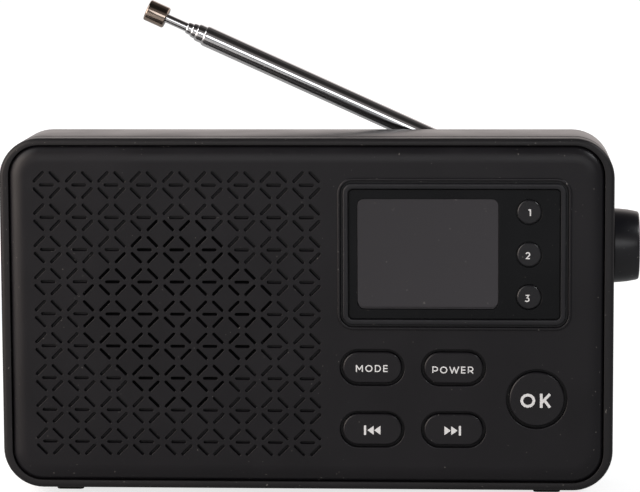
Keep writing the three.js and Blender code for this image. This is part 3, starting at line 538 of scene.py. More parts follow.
# ------------------------------ rear cabinet
# The rear half of the cabinet, moulded in one: four walls, a back with a raised middle for the
# battery, and a flat band above it that the folded antenna lies against. It has deep wells for
# the screws, posts for the main board, the battery bay, and holes for the knob, the sockets
# and the antenna.

SHADOW_LINE = 1.2
BODY_DEPTH, BULGE_DEPTH = 36, 43
REAR_FRONT, INNER_BACK = BEZEL_BACK + SHADOW_LINE, BODY_DEPTH - WALL
BULGE_WIDTH, BULGE_HEIGHT, BULGE_RADIUS, BULGE_Z = 152, 70, 9, 41
REAR_EDGE, BULGE_EDGE, BULGE_LEAN = 3, 2.2, 1.4
KNOB_Y, KNOB_Z = 21, 70.3
JACK_Y, JACK_Z = 17.5, 37
USB_Y, USB_Z = 16.5, 25
ANTENNA_X, ANTENNA_Z = 64, 88.05
DOOR_LEFT, DOOR_RIGHT, DOOR_BOTTOM, DOOR_TOP, DOOR_THICKNESS = -1.2, 70.7, 12.6, 37.4, 1.8
BAY_FLOOR, BAY_WALL, DOOR_LEDGE = 21.9, 1.8, 1.2
WALL_INSIDE = 84
WELL_RADIUS, WELL_BORE, SCREW_HOLE, SCREW_SEAT = 4.2, 3.2, 1.8, 22
BUSH_BOSS, BUSH_HOLE, BUSH_SEAT, KNOB_HOLE, JACK_HOLE = 7.5, 3.3, 5.5, 4.2, 3.3
GAP = 0.3
PART_SEAT, MAIN_POST_RADIUS = 14.9, 2.5
MAIN_BOARD_POSTS = [(10, 86, INNER_BACK), (78, 86, INNER_BACK), (82, 46, INNER_BACK),
                    (8, 46, BULGE_DEPTH - WALL)]
FOOT_SIDE, FOOT_CORNER = 8, 1.2
FOOT_PLACES = {"front_left": (-72, 15.2), "front_right": (71.2, 15.2),
               "rear_left": (-71, 29.5), "rear_right": (71, 29.5)}


def foot_ring(place, inset, level):
    """The outline of a foot at one level: a square with round corners, smaller by the inset."""
    return [(x, y, level) for x, y in rounded(FOOT_SIDE, FOOT_SIDE, FOOT_CORNER, *place, 5)(inset)]


def block(left, right, front, back, bottom, top):
    """A plain box, before its edges are softened."""
    base = [(left, bottom), (right, bottom), (right, top), (left, top)]
    return skin([upright(base, front), upright(base, back)])


def rod(radius, start, along, length, steps=36):
    return turned([(radius, 0), (radius, length)], start, along, steps)


def at_screws(radius, front, length, steps=36):
    return [rod(radius, (x, front, z), BACK, length, steps) for x, z in SCREW_PLACES]


def door_block(out, front, back):
    """A box across the battery door, reaching past its edges by the same length all round."""
    return block(DOOR_LEFT - out, DOOR_RIGHT + out, front, back, DOOR_BOTTOM - out, DOOR_TOP + out)


def usb_loft(outline, profile):
    """An outline about the charging socket's middle, carried through (inset, x) points."""
    return skin([[(x, USB_Y + across, USB_Z + up) for up, across in outline(inset)]
                 for inset, x in profile])


def combined(base, shapes, operation):
    """The base with each closed shape joined to it or cut from it."""
    tools = [mesh_object("tool", [shape]) for shape in shapes]
    for tool in tools:
        configured(base.modifiers.new("combine", "BOOLEAN"), object=tool, operation=operation,
                   solver="EXACT")
    settled(base)
    for tool in tools:
        bpy.data.objects.remove(tool)
    return base


def softened(made, radius, crease=50):
    """Sharp edges rounded to a moulding's small radius."""
    configured(made.modifiers.new("round", "BEVEL"), width=radius * MM, segments=2,
               limit_method="ANGLE", angle_limit=math.radians(crease), use_clamp_overlap=True)
    return shade(settled(made))


rear_profile = [
    *arc((EDGE, REAR_FRONT + EDGE), EDGE, 270, 180, 3),
    *arc((REAR_EDGE, BODY_DEPTH - REAR_EDGE), REAR_EDGE, 180, 90, 12),
]
bulge_profile = [
    (0, BODY_DEPTH - 1), (0.2, BODY_DEPTH + 0.1), (BULGE_LEAN, BULGE_DEPTH - BULGE_EDGE - 0.2),
    *arc((BULGE_LEAN + BULGE_EDGE, BULGE_DEPTH - BULGE_EDGE), BULGE_EDGE, 180, 90, 8),
]
bulge_outline = rounded(BULGE_WIDTH, BULGE_HEIGHT, BULGE_RADIUS, 0, BULGE_Z)
shell = mesh_object("rear_cabinet_moulding", [loft(cabinet_outline, rear_profile)])
joined = [loft(bulge_outline, bulge_profile)]
tongue_back = BEZEL_BACK + TONGUE_LENGTH + GAP
bulge_inset = WALL + BULGE_LEAN
hollow = [
    loft(cabinet_outline, [(WALL, BEZEL_BACK), (WALL, INNER_BACK)]),
    loft(cabinet_outline, [(TONGUE_INSET - GAP, BEZEL_BACK), (TONGUE_INSET - GAP, tongue_back)]),
    loft(bulge_outline, [(bulge_inset, INNER_BACK - 1), (bulge_inset, BULGE_DEPTH - WALL)]),
]
inner = [
    door_block(BAY_WALL, BAY_FLOOR - 1.5, BULGE_DEPTH - 1.5),
    rod(BUSH_BOSS, (ANTENNA_X, 29, ANTENNA_Z), BACK, 5),
    *at_screws(WELL_RADIUS, 14.3, 20),
    *(rod(MAIN_POST_RADIUS, (x, PART_SEAT, z), BACK, back + 1 - PART_SEAT, 24)
      for x, z, back in MAIN_BOARD_POSTS),
]
holes = [
    door_block(-DOOR_LEDGE, BAY_FLOOR, BULGE_DEPTH),
    door_block(GAP, BULGE_DEPTH - DOOR_THICKNESS - GAP, BULGE_DEPTH + 1),
    rod(BUSH_HOLE, (ANTENNA_X, 28, ANTENNA_Z), BACK, 10),
    rod(BUSH_SEAT, (ANTENNA_X, BODY_DEPTH - 1.6, ANTENNA_Z), BACK, 5),
    rod(KNOB_HOLE, (WALL_INSIDE, KNOB_Y, KNOB_Z), RIGHT, 8),
    rod(JACK_HOLE, (WALL_INSIDE, JACK_Y, JACK_Z), RIGHT, 8),
    usb_loft(stadium(0, 0, 10, 4, 10), [(0, WALL_INSIDE), (0, WALL_INSIDE + 8)]),
    *at_screws(WELL_BORE, SCREW_SEAT, 22),
    *at_screws(SCREW_HOLE, 13, 10, 20),
    *(skin([foot_ring(place, -GAP, UNDERSIDE + level) for level in (-1, 0.9)])
      for place in FOOT_PLACES.values()),
]
steps = ((joined, "UNION"), (hollow, "DIFFERENCE"), (inner, "UNION"), (holes, "DIFFERENCE"))
for shapes, operation in steps:
    combined(shell, shapes, operation)
softened(shell, 0.25, 60)
case_black = moulded_plastic("case_black", (21, 19, 21), 0.32, 0.3)
fit(shell, case_black, "radio_case", "case_plastic", "rear_cabinet")

# ------------------------------ feet
# Four square pads of black rubber, each a push fit in a shallow pocket of the underside.

FOOT_HEIGHT = 2.5


def rubber(name):
    """Matte black rubber, faintly mottled."""
    material, shader, add, place = new_material(name)
    mottle = noise(add, place, 900, 3)
    connect(shader, {"Base Color": remap(add, mottle, 0, 1, 0.011, 0.019), "Roughness": 0.85,
                     "Normal": bump(add, mottle, 0.4, 0.05), "Specular IOR Level": 0.2})
    return material


foot_rubber = rubber("foot_rubber")
foot_bottom = UNDERSIDE - FOOT_HEIGHT
foot_levels = [*arc((EDGE, foot_bottom + EDGE), EDGE, -90, -180, 3), (0, UNDERSIDE + 0.6)]
for corner, place in FOOT_PLACES.items():
    pad = skin([foot_ring(place, *level) for level in foot_levels])
    piece("pad_" + corner, [pad], foot_rubber, "radio_case", "rubber_black", "foot_" + corner)

# ------------------------------ case screws
# Four pan-headed screws of zinc-plated steel at the bottom of their wells, with cross recesses.
# They come in from the back and hold the two halves of the cabinet together.

SHANK_RADIUS, SCREW_TIP, SCREW_HEAD_RADIUS, SCREW_HEAD = 1.3, 8.3, 2.8, 1.9


def brushed_metal(name, colour, roughness, across=600, along=600):
    """Bare or plated metal with fine marks, drawn out along one way where the scales differ."""
    material, shader, add, place = new_material(name)
    drawn = add("Mapping", {"Vector": place, "Scale": (along, across, across)})
    marks = noise(add, drawn.outputs[0], 1, 4)
    smear = noise(add, place, 90, 2)
    connect(shader, {
        "Base Color": shaded(add, colour, remap(add, marks, 0.3, 0.7, 0.93, 1)),
        "Roughness": remap(add, smear, 0.3, 0.7, roughness * 0.7, roughness * 1.4),
        "Normal": bump(add, marks, 0.08, 0.01),
        "Metallic": 1,
    })
    return material


def set_at_points():
    """The node tree: one template object set at every point of a mesh."""
    tree, shape, _, given = new_tree(
        "set_at_points", {"Points": "Geometry", "Template": "Object", "Finish": "Material"})
    screws = object_shape(shape, given["Template"])
    copies = shape("InstanceOnPoints", {"Points": given["Points"], "Instance": screws})
    return finish_tree(tree, copies, given["Finish"])


zinc = brushed_metal("zinc_plate", (168, 170, 172), 0.32)
screw_profile = [
    (SHANK_RADIUS, SCREW_TIP), (SHANK_RADIUS, SCREW_SEAT + GAP), (SCREW_HEAD_RADIUS, SCREW_SEAT + GAP),
    (SCREW_HEAD_RADIUS, SCREW_SEAT + GAP + 0.5),
    *arc((0.4, SCREW_SEAT + GAP + 0.5), (SCREW_HEAD_RADIUS - 0.4, SCREW_HEAD - 0.6), 10, 90, 6)]
screw = mesh_object("screw_template", [turned(screw_profile, (0, 0, 0), BACK, 32)])
cross = [block(-half, half, SCREW_SEAT + 0.9, SCREW_SEAT + 3, -reach, reach)
         for half, reach in ((1.5, 0.3), (0.3, 1.5))]
combined(screw, cross, "DIFFERENCE")
shade(screw)
screw.data.transform(Matrix.Translation(-in_frame(0, 0, 0)))
places = template("case_screws", [(x, 0, z) for x, z in SCREW_PLACES])
case_screws = grown(places, set_at_points(), {"Template": screw, "Finish": zinc})
bpy.data.objects.remove(screw)
corners = [f"case_screw_{height}_{side}" for height in ("top", "bottom") for side in ("left", "right")]
fit(case_screws, zinc, "radio_case", "steel", *corners)

# ------------------------------ display frame
# A collar moulded in black ABS that stands a little proud of the panel. A flange holds it from
# behind, and a ledge inside carries the lens plate.

FRAME_PROUD = 0.5
GAP_FLOOR, GAP_REACH = 0.9, 0.6
LENS_FRONT, LENS_BACK = 0.1, 1.3
LENS_WIDTH, LENS_HEIGHT = 61.7, 38.1
LENS_SEAT = (FRAME_WIDTH - LENS_WIDTH) / 2 - 0.3
FLANGE_FRONT, FLANGE_BACK, FLANGE_REACH = 2.7, 3.7, 1.9
frame_profile = [
    (-FLANGE_REACH, FLANGE_FRONT), (-GAP_REACH, FLANGE_FRONT), (-GAP_REACH, GAP_FLOOR),
    (0, GAP_FLOOR), (0, 0),
    *arc((0.5, 0), (0.5, FRAME_PROUD), 180, 270, 6),
    *arc((LENS_SEAT - 0.15, -FRAME_PROUD + 0.15), 0.15, -90, 0, 3),
    (LENS_SEAT, LENS_BACK + GAP), (LENS_SEAT + 1.5, LENS_BACK + GAP), (LENS_SEAT + 1.5, FLANGE_BACK),
    (-FLANGE_REACH, FLANGE_BACK),
]
frame_black = moulded_plastic("frame_black", (22, 22, 25), 0.36, 0.25)
collar = loft(around_display, frame_profile, "loop")
piece("display_collar", [collar], frame_black, "radio_case", "case_plastic", "display_frame")

# ------------------------------ lens plate
# A flat plate of black acrylic inside the collar, with a window for the screen and three holes
# for the preset buttons. It is smooth, with fine dust on it.

WINDOW = (35.93, DISPLAY[1])
WINDOW_WIDTH, WINDOW_HEIGHT, WINDOW_RADIUS = 41.3, 32.6, 2
PRESET_X, PRESET_PITCH, PRESET_RADIUS = 65.53, 12.54, 3.55
PRESETS = {f"preset_{row + 1}": (PRESET_X, DISPLAY[1] + (1 - row) * PRESET_PITCH,
                                 2 * PRESET_RADIUS, 2 * PRESET_RADIUS) for row in range(3)}
lens_outline = rounded(LENS_WIDTH, LENS_HEIGHT, 1.2, *DISPLAY, 6)
window_outline = rounded(WINDOW_WIDTH, WINDOW_HEIGHT, WINDOW_RADIUS, *WINDOW, 8)
lens_plastic = moulded_plastic("lens_black", (10, 11, 13), 0.3, 0.14, grain=0.04, grain_size=0.8)
lens = mesh_object("lens_plate", [loft(lens_outline, [(0, LENS_FRONT), (0, LENS_BACK)])])
through = [loft(window_outline, [(0, -1), (0, 3)])]
through += [loft(stadium(*key), [(-GAP, -1), (-GAP, 3)]) for key in PRESETS.values()]
combined(lens, through, "DIFFERENCE")
softened(lens, 0.12)
fit(lens, lens_plastic, "radio_case", "lens_plastic", "display_lens")

# ------------------------------ screen
# A small liquid crystal screen, switched off: a pane with a matted grey film stands forward in
# the window, and the wider glass and a thin backlight lie behind it.

SCREEN_FRONT, SCREEN_BACK, BACKLIGHT_BACK = LENS_BACK + GAP, 2.6, 4.4
PANE_FRONT, FILM_FRONT, FILM_SHORT = 0.6, 0.15, 0.7


def screen_glass(name):
    """Grey matted glass with a painted sheen that makes it a touch lighter towards its lower right, and
    specks of dust.
    """
    material, shader, add, place = new_material(name)
    corner = in_frame(WINDOW[0] - WINDOW_WIDTH / 2, 0, WINDOW[1] + WINDOW_HEIGHT / 2)
    across = maths(add, "SUBTRACT", place, tuple(corner), kind="VectorMath")
    # A painted sheen: the grey grows lighter from the upper left corner towards the lower right.
    painted_sheen_slant = maths(add, "DOT_PRODUCT", across, (14, 0, -14), kind="VectorMath").outputs["Value"]
    glass = shaded(add, (46, 45, 48), remap(add, painted_sheen_slant, 0, 1, 0.84, 1.1))
    speck = noise(add, place, 700, 1)
    dust = remap(add, speck, 0.74, 0.84, 0, 0.25)
    connect(shader, {"Base Color": blend(add, dust, glass, tone(150, 148, 142)),
                     "Roughness": remap(add, speck, 0, 1, 0.4, 0.5), "Specular IOR Level": 0.2})
    return material


film_outline = rounded(WINDOW_WIDTH - 0.12, WINDOW_HEIGHT - 0.06 - FILM_SHORT, 1.9,
                       WINDOW[0], WINDOW[1] + (FILM_SHORT - 0.06) / 2, 8)
glass_outline = rounded(WINDOW_WIDTH + 2, WINDOW_HEIGHT + 2.6, 0.8, *WINDOW, 4)
light_outline = rounded(WINDOW_WIDTH + 1.4, WINDOW_HEIGHT + 1.8, 0.8, *WINDOW, 4)
layers = [
    loft(film_outline, [(0.08, FILM_FRONT), (0, FILM_FRONT + 0.05), (0, PANE_FRONT)]),
    loft(window_outline, [(0.16, PANE_FRONT), (0.06, PANE_FRONT + 0.1), (0.06, SCREEN_FRONT + 0.2)]),
    loft(glass_outline, [(0.1, SCREEN_FRONT), (0, SCREEN_FRONT + 0.1), (0, SCREEN_BACK)]),
    loft(light_outline, [(0, SCREEN_BACK + 0.05), (0, BACKLIGHT_BACK)]),
]
piece("screen_glass", layers, screen_glass("screen_grey"), "radio_case", "screen", "lcd_module")

# ------------------------------ buttons
# Eight buttons moulded in black ABS: four long ones, a round one and three small presets. Each
# cap has a softened rim, a flange that keeps it behind its hole, and a stem for its switch.

FLANGE_THICKNESS, STEM_RADIUS, STEM_END = 0.8, 1.5, 5
LARGE_FRONT, PRESET_FRONT = 0.1, 0
RIM_TILTS = (18, 62)


def button(name, key, front, seat, flange, material, rim):
    """A cap whose face is at the front. Its flange reaches past it and sits behind the seat."""
    x, z, width, height = key
    face = seat + GAP
    shallow, steep = RIM_TILTS
    out, deep = rim * math.sin(math.radians(steep)), rim * math.cos(math.radians(shallow))
    edge = arc((out, front + deep), rim, -90 - shallow, -90 - steep, 5)
    cap = loft(stadium(*key), [*edge, (0, face + 0.4)])
    half_width, half_height = width / 2 + flange, height / 2 + flange
    plate = block(x - half_width, x + half_width, face, face + FLANGE_THICKNESS,
                  z - half_height, z + half_height)
    stem = rod(STEM_RADIUS, (x, face, z), BACK, STEM_END - face)
    piece("cap_" + name, [cap, plate, stem], material, "key_" + name, "key_plastic", "button_" + name)


key_black = moulded_plastic("key_black", (18, 17, 20), 0.36, 0.25)
preset_black = moulded_plastic("preset_black", (19, 19, 22), 0.28, 0.32)
for name, key in LARGE_KEYS.items():
    button(name, key, LARGE_FRONT, PANEL_BACK, KEY_CLEARANCE + 0.8, key_black, rim=0.8)
for name, key in PRESETS.items():
    button(name, key, PRESET_FRONT, LENS_BACK, 0.9, preset_black, rim=0.7)

# ------------------------------ legends
# The words, numbers and signs on the buttons, pad-printed in white. Each is drawn as plain
# strokes of one width with square ends.

INK, NUDGE, SHARPEST = 0.03, 0.004, 0.62
BAR_OFFSET, BAR_HALF, BAR_REACH = 2.2, 0.32, 1.42
TRIANGLE_HALF, TRIANGLES = 1.34, [(0.68, 1.88), (2.7, 1.86)]


def bow(middle, radii, start, end):
    return arc(middle, radii, start, end, 12)


# Each letter is its width and its strokes, drawn on a height of 1.
LETTERS = {
    "M": (1, [[(0, 0), (0, 1)], [(1, 0), (1, 1)], [(0.06, 0.95), (0.5, 0.32)],
              [(0.94, 0.95), (0.5, 0.32)]]),
    "O": (1.06, [bow((0.53, 0.5), (0.53, 0.5), 90, 450)]),
    "D": (0.84, [[(0, 0), (0, 1), *bow((0.36, 0.5), (0.48, 0.5), 90, -90), (0, 0)]]),
    "E": (0.64, [[(0.64, 1), (0, 1), (0, 0), (0.64, 0)], [(0.05, 0.51), (0.56, 0.51)]]),
    "P": (0.78, [[(0, 0), (0, 1), *bow((0.43, 0.67), (0.35, 0.33), 90, -90), (0, 0.34)]]),
    "W": (1.46, [[(0, 1), (0.37, 0)], [(0.37, 0), (0.73, 0.92)], [(0.73, 0.92), (1.09, 0)],
                 [(1.09, 0), (1.46, 1)]]),
    "R": (0.74, [[(0, 0), (0, 1), *bow((0.39, 0.67), (0.35, 0.33), 90, -90), (0, 0.34)],
                 [(0.4, 0.34), (0.72, 0)]]),
    "K": (0.7, [[(0, 0), (0, 1)], [(0.66, 1), (0.06, 0.36)], [(0.26, 0.55), (0.68, 0)]]),
    "1": (0.32, [[(0, 0.98), (0.32, 0.98), (0.32, 0)]]),
    "2": (0.6, [[*bow((0.29, 0.7), (0.29, 0.3), 165, -35), (0.02, 0.02), (0.62, 0.02)]]),
    "3": (0.6, [[(0.04, 1), (0.56, 1), (0.27, 0.6), *bow((0.27, 0.3), (0.32, 0.3), 80, -150)]]),
}


def stroke(points, width, y):
    """A flat line of even width along points, with mitred corners, as a thin closed solid."""
    closed = math.dist(points[0], points[-1]) < 1e-6
    path = [Vector(p) for p in (points[:-1] if closed else points)]
    rings = []
    for i, point in enumerate(path):
        ways = [(point - path[i - 1]).normalized()] if closed or i else []
        if closed or i + 1 < len(path):
            ways.append((path[(i + 1) % len(path)] - point).normalized())
        way = sum(ways, Vector((0, 0))).normalized()
        spread = width / 2 / max(way.dot(ways[0]), SHARPEST)
        normal = Vector((-way.y, way.x)) * spread
        left, right = point + normal, point - normal
        rings.append([(left.x, y, left.y), (left.x, y + INK, left.y),
                      (right.x, y + INK, right.y), (right.x, y, right.y)])
    return skin(rings, "loop" if closed else "closed")


def word(text, left, bottom, height, width, y, spacing=0.3):
    """Letters set side by side from their lower left corner. The height takes in the strokes, and
    each stroke of a letter lies a hair over the last."""
    scale, shapes = height - width, []
    for letter in text:
        wide, strokes = LETTERS[letter]
        for layer, points in enumerate(strokes):
            path = [(left + width / 2 + u * scale, bottom + width / 2 + v * scale) for u, v in points]
            if len(points) == 2:
                path = longer(path, width / 2)
            shapes.append(stroke(path, width, y - layer * NUDGE))
        left += wide * scale + width + spacing
    return shapes


def longer(path, by):
    """A straight stroke drawn out by the same length at both ends."""
    start, end = Vector(path[0]), Vector(path[1])
    step = (end - start).normalized() * by
    return [start - step, end + step]


def triangle(tip, base, z, half, y):
    corners = [(tip, z), (base, z - half), (base, z + half)]
    return skin([upright(corners, y), upright(corners, y + INK)])


def skip_sign(x, z, way, y):
    """Two triangles that point to a bar, to the left or to the right."""
    bar = x + way * BAR_OFFSET
    shapes = [block(bar - BAR_HALF, bar + BAR_HALF, y, y + INK, z - BAR_REACH, z + BAR_REACH)]
    for distance, length in TRIANGLES:
        tip = bar - way * distance
        shapes.append(triangle(tip, tip - way * length, z, TRIANGLE_HALF, y))
    return shapes


def white_ink(name):
    """Printed white, slightly uneven."""
    material, shader, add, place = new_material(name)
    white = remap(add, noise(add, place, 2500, 2), 0.3, 0.7, 0.54, 0.64)
    connect(shader, {"Base Color": white, "Roughness": 0.6})
    return material


print_white = white_ink("print_white")
ON_LARGE, ON_PRESET = LARGE_FRONT - INK, PRESET_FRONT - INK
legends = {
    "mode": word("MODE", 14.75, 35.12, 2.08, 0.32, ON_LARGE, 0.66),
    "power": word("POWER", 37.25, 34.78, 2.08, 0.32, ON_LARGE, 0.56),
    "previous": skip_sign(19.6, 17.7, -1, ON_LARGE),
    "next": skip_sign(43.18, 17.7, 1, ON_LARGE),
    "ok": word("OK", 63.12, 24.68, 4.2, 0.8, ON_LARGE, 1.35),
    "preset_1": word("1", 65.1, 81.3, 2.15, 0.36, ON_PRESET),
    "preset_2": word("2", 64.45, 68.7, 2.15, 0.36, ON_PRESET),
    "preset_3": word("3", 64.3, 56.1, 2.15, 0.36, ON_PRESET),
}
for name, shapes in legends.items():
    piece("legend_" + name, shapes, print_white, "key_" + name, "key_plastic")

# ------------------------------ boards and hidden parts
# The switches, boards, tuner and loudspeaker stay as they are built, behind the panel: green
# laminate, black thermoplastic, tinned steel, grey ferrite and black paper.


def laminate(name):
    """Green solder resist over glass cloth, with a faint weave."""
    material, shader, add, place = new_material(name)
    weave = add("TexWave", {"Vector": place, "Scale": 900, "Distortion": 1.5}).outputs[1]
    green = shaded(add, (31, 90, 56), remap(add, weave, 0, 1, 0.85, 1.1))
    connect(shader, {"Base Color": green, "Roughness": 0.4})
    return material


def keep(material, *nodes):
    """CAD pieces that keep their shape and take this material."""
    for name in nodes:
        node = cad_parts[name]
        if not node.material_slots:
            node.data.materials.append(material)
        for place in node.material_slots:
            place.material = material


component_black = moulded_plastic("component_black", (30, 30, 32), 0.5, 0.4, grain_size=0.5)
ferrite_grey = moulded_plastic("ferrite_grey", (58, 58, 61), 0.6, 0.4, grain=0.6, grain_size=0.6)
paper_black = moulded_plastic("paper_black", (16, 16, 17), 0.9, 0.1, grain=1.0, grain_size=0.5)
tinned_steel = brushed_metal("tinned_steel", (160, 162, 165), 0.35)
wire_red = moulded_plastic("wire_red", (150, 34, 30), 0.45, 0.4, grain=0.05)
wire_black = moulded_plastic("wire_black", (22, 22, 23), 0.5, 0.4, grain=0.05)
keep(laminate("board_green"), "key_board", "main_board")
keep(component_black, *(f"switch_{name}" for name in [*LARGE_KEYS, *PRESETS]))
keep(tinned_steel, "tuner_module", "speaker_basket", "encoder_body", "encoder_shaft")
keep(ferrite_grey, "speaker_magnet")
keep(paper_black, "speaker_cone", "grille_cloth")
keep(wire_red, "speaker_lead")
keep(wire_black, "antenna_lead")

# ------------------------------ side sockets
# A headphone socket in black thermoplastic and a flat steel charging socket with its contact
# tongue, both soldered to the main board and reaching out through the right wall.

JACK_BORE, JACK_COLLAR, JACK_FACE, JACK_HALF = 1.8, 2.9, 89.4, 3.3
JACK_LEFT, JACK_RIGHT = 75, 87.2
jack_body = block(JACK_LEFT, JACK_RIGHT, PART_SEAT, JACK_Y + JACK_COLLAR + 0.1,
                  JACK_Z - JACK_HALF, JACK_Z + JACK_HALF)
collar_profile = [(JACK_COLLAR, 86), (JACK_COLLAR, JACK_FACE - 0.2), (JACK_COLLAR - 0.2, JACK_FACE)]
bore_profile = [(JACK_BORE, JACK_LEFT + 1), (JACK_BORE, JACK_FACE - 0.3),
                (JACK_BORE + 0.3, JACK_FACE), (JACK_BORE + 0.3, JACK_FACE + 0.6)]
jack = mesh_object("jack_socket", [jack_body])
for profile, operation in ((collar_profile, "UNION"), (bore_profile, "DIFFERENCE")):
    combined(jack, [turned(profile, (0, JACK_Y, JACK_Z), RIGHT)], operation)
shade(jack)
fit(jack, component_black, "radio_case", "component_black", "headphone_socket")

USB_WIDTH, USB_HEIGHT, USB_SHEET, USB_LEFT, USB_FACE = 9, 3.2, 0.35, 80, 88.8
usb_profile = [(0, USB_LEFT), (0, USB_FACE - 0.1), (0.1, USB_FACE), (0.3, USB_FACE),
               (USB_SHEET, USB_FACE - 0.1), (USB_SHEET, USB_LEFT + 1)]
usb_shell = usb_loft(stadium(0, 0, USB_WIDTH, USB_HEIGHT, 10), usb_profile)
piece("charging_socket", [usb_shell], tinned_steel, "radio_case", "steel", "usb_socket")
tongue_shape = block(USB_LEFT + 0.8, USB_FACE - 1, USB_Y - 0.35, USB_Y + 0.35,
                     USB_Z - 3.2, USB_Z + 3.2)
tongue = mesh_object("charging_tongue", [tongue_shape])
fit(softened(tongue, 0.1), component_black, "radio_case", "component_black")

# ------------------------------ side knob
# A turned-looking cap moulded in black ABS, slightly conical, with a rounded outer rim and a
# flat face. It is hollow behind and pressed on the shaft of the volume encoder.

KNOB_RADIUS, KNOB_END, KNOB_RIM, SHAFT_RADIUS = 11.1, 98.4, 0.7, 3
KNOB_START = CABINET_WIDTH / 2 + 0.35
HUB_BORE, HUB_RADIUS = SHAFT_RADIUS + 0.1, SHAFT_RADIUS + 0.1 + 1.4
knob_side = [(KNOB_RADIUS - 0.25, KNOB_START), (KNOB_RADIUS, KNOB_START + 0.25),
             (KNOB_RADIUS - 0.1, 92.5), (KNOB_RADIUS - 0.35, 95),
             (KNOB_RADIUS - 0.8, KNOB_END - KNOB_RIM - 0.3)]
knob_rim = arc((KNOB_RADIUS - 0.9 - KNOB_RIM, KNOB_END - KNOB_RIM), KNOB_RIM, 10, 90, 7)
knob_back = [(HUB_BORE, KNOB_END - 2.2), (HUB_BORE, KNOB_START), (HUB_RADIUS, KNOB_START),
             (HUB_RADIUS, KNOB_END - 1.8), (KNOB_RADIUS - 2, KNOB_END - 1.8),
             (KNOB_RADIUS - 1.5, KNOB_START)]
knob = turned([*knob_back, *knob_side, *knob_rim], (0, KNOB_Y, KNOB_Z), RIGHT, 96)
knob_black = moulded_plastic("knob_black", (11, 11, 17), 0.3, 0.36, grain=0.2)
piece("volume_knob", [knob], knob_black, "volume_knob", "key_plastic", "side_knob")

# ------------------------------ telescopic antenna
# Four drawn brass tubes and a rod, chrome plated, that slide in one another, each outer one
# rolled in at its mouth, with a turned, nickel-plated tip. The first is pinned between the ears
# of a swivel whose stem turns in a bush in the back.

ANTENNA_RAISED = math.radians(24.4)
ROD_DEPTH = 41.25
PIN = (ANTENNA_X, ROD_DEPTH, ANTENNA_Z)
ALONG = (-math.cos(ANTENNA_RAISED), 0, math.sin(ANTENNA_RAISED))
ACROSS = (math.sin(ANTENNA_RAISED), 0, math.cos(ANTENNA_RAISED))
TUBE_RADIUS, TUBE_START, TUBE_END, TUBE_WALL = 3.15, 3.4, 106.5, 0.35
INNER_TUBES = [(2.7, 7, 109), (2.25, 7.4, 110.6), (1.8, 7.8, 112.3)]
ROD_RADIUS, ROD_START = 1.35, 13
TIP_RADIUS, TIP_START, TIP_END = 3.3, 119.1, 125.6
EAR_INNER, EAR_OUTER, EAR_RADIUS, PIN_RADIUS = 1.75, 3.3, 2.6, 0.9
HINGE_RADIUS, HINGE_REACH, HINGE_HALF = 2, 4.5, 1.5
SWIVEL_STEM, SWIVEL_FOOT, SWIVEL_FRONT = 1.6, 4.6, 29
BUSH_BORE, BUSH_BODY, BUSH_RIM, BUSH_FRONT, BUSH_STEP = 1.7, 3, 5.2, 28.3, 1.3


def tube(radius, start, end):
    """A drawn tube whose mouth is rolled in over the next one."""
    bore, inward, roll = radius - TUBE_WALL, 0.36, 0.9
    return [(bore, start), (radius, start), (radius, end - roll),
            *arc((radius - inward, end - roll), (inward, roll), 15, 90, 5), (bore, end - 0.3)]


def from_pin(outline, low, high):
    """A plate between two distances along the pin, from its outline of (toward the foot of the
    antenna, back from the pin) points."""
    def at(u, v, w):
        return tuple(PIN[i] - ALONG[i] * u + ACROSS[i] * w + (v if i == 1 else 0) for i in range(3))
    return skin([[at(u, v, low) for u, v in outline], [at(u, v, high) for u, v in outline]])


chrome = brushed_metal("chrome_plate", (206, 207, 209), 0.07, across=1500, along=1500)
tube_end = [(TUBE_RADIUS - TUBE_WALL, TUBE_START + 0.2), (TUBE_RADIUS - 0.5, TUBE_START),
            (TUBE_RADIUS, TUBE_START + 0.5)]
outer_tube = tube(TUBE_RADIUS, TUBE_START, TUBE_END)[2:] + tube_end
plug = [(TUBE_RADIUS - 0.6, TUBE_START), (TUBE_RADIUS - 0.45, TUBE_START), (TUBE_RADIUS - 0.45, 6.5)]
hinge_outline = [(-HINGE_REACH, -HINGE_RADIUS), *arc((0, 0), HINGE_RADIUS, -90, 90, 12),
                 (-HINGE_REACH, HINGE_RADIUS)]
section_one = [turned(outer_tube, PIN, ALONG, 48, "loop"), turned(plug, PIN, ALONG, 48),
               from_pin(hinge_outline, -HINGE_HALF, HINGE_HALF)]
piece("antenna_section_outer", section_one, chrome, "antenna_section_1", "chrome_plate", "antenna_tube_1")
for number, tube_sizes in enumerate(INNER_TUBES, 1):
    section = turned(tube(*tube_sizes), PIN, ALONG, 48, "loop")
    piece(f"antenna_section_inner_{number}", [section], chrome,
          f"antenna_section_{number + 1}", "chrome_plate", f"antenna_tube_{number + 1}")
rod_shape = turned([(ROD_RADIUS, ROD_START), (ROD_RADIUS, TIP_START + 1)], PIN, ALONG, 40)
piece("antenna_inner_rod", [rod_shape], chrome, "antenna_section_5", "chrome_plate", "antenna_rod")
tip_profile = [(ROD_RADIUS + 0.1, TIP_START), (TIP_RADIUS - 0.35, TIP_START),
               (TIP_RADIUS, TIP_START + 0.35),
               *arc((TIP_RADIUS - 0.5, TIP_END - 0.5), 0.5, 0, 90, 4)]
nickel = brushed_metal("nickel_plate", (158, 144, 133), 0.1, across=1500, along=1500)
tip = turned(tip_profile, PIN, ALONG, 48)
piece("antenna_end_cap", [tip], nickel, "antenna_section_5", "chrome_plate", "antenna_tip")

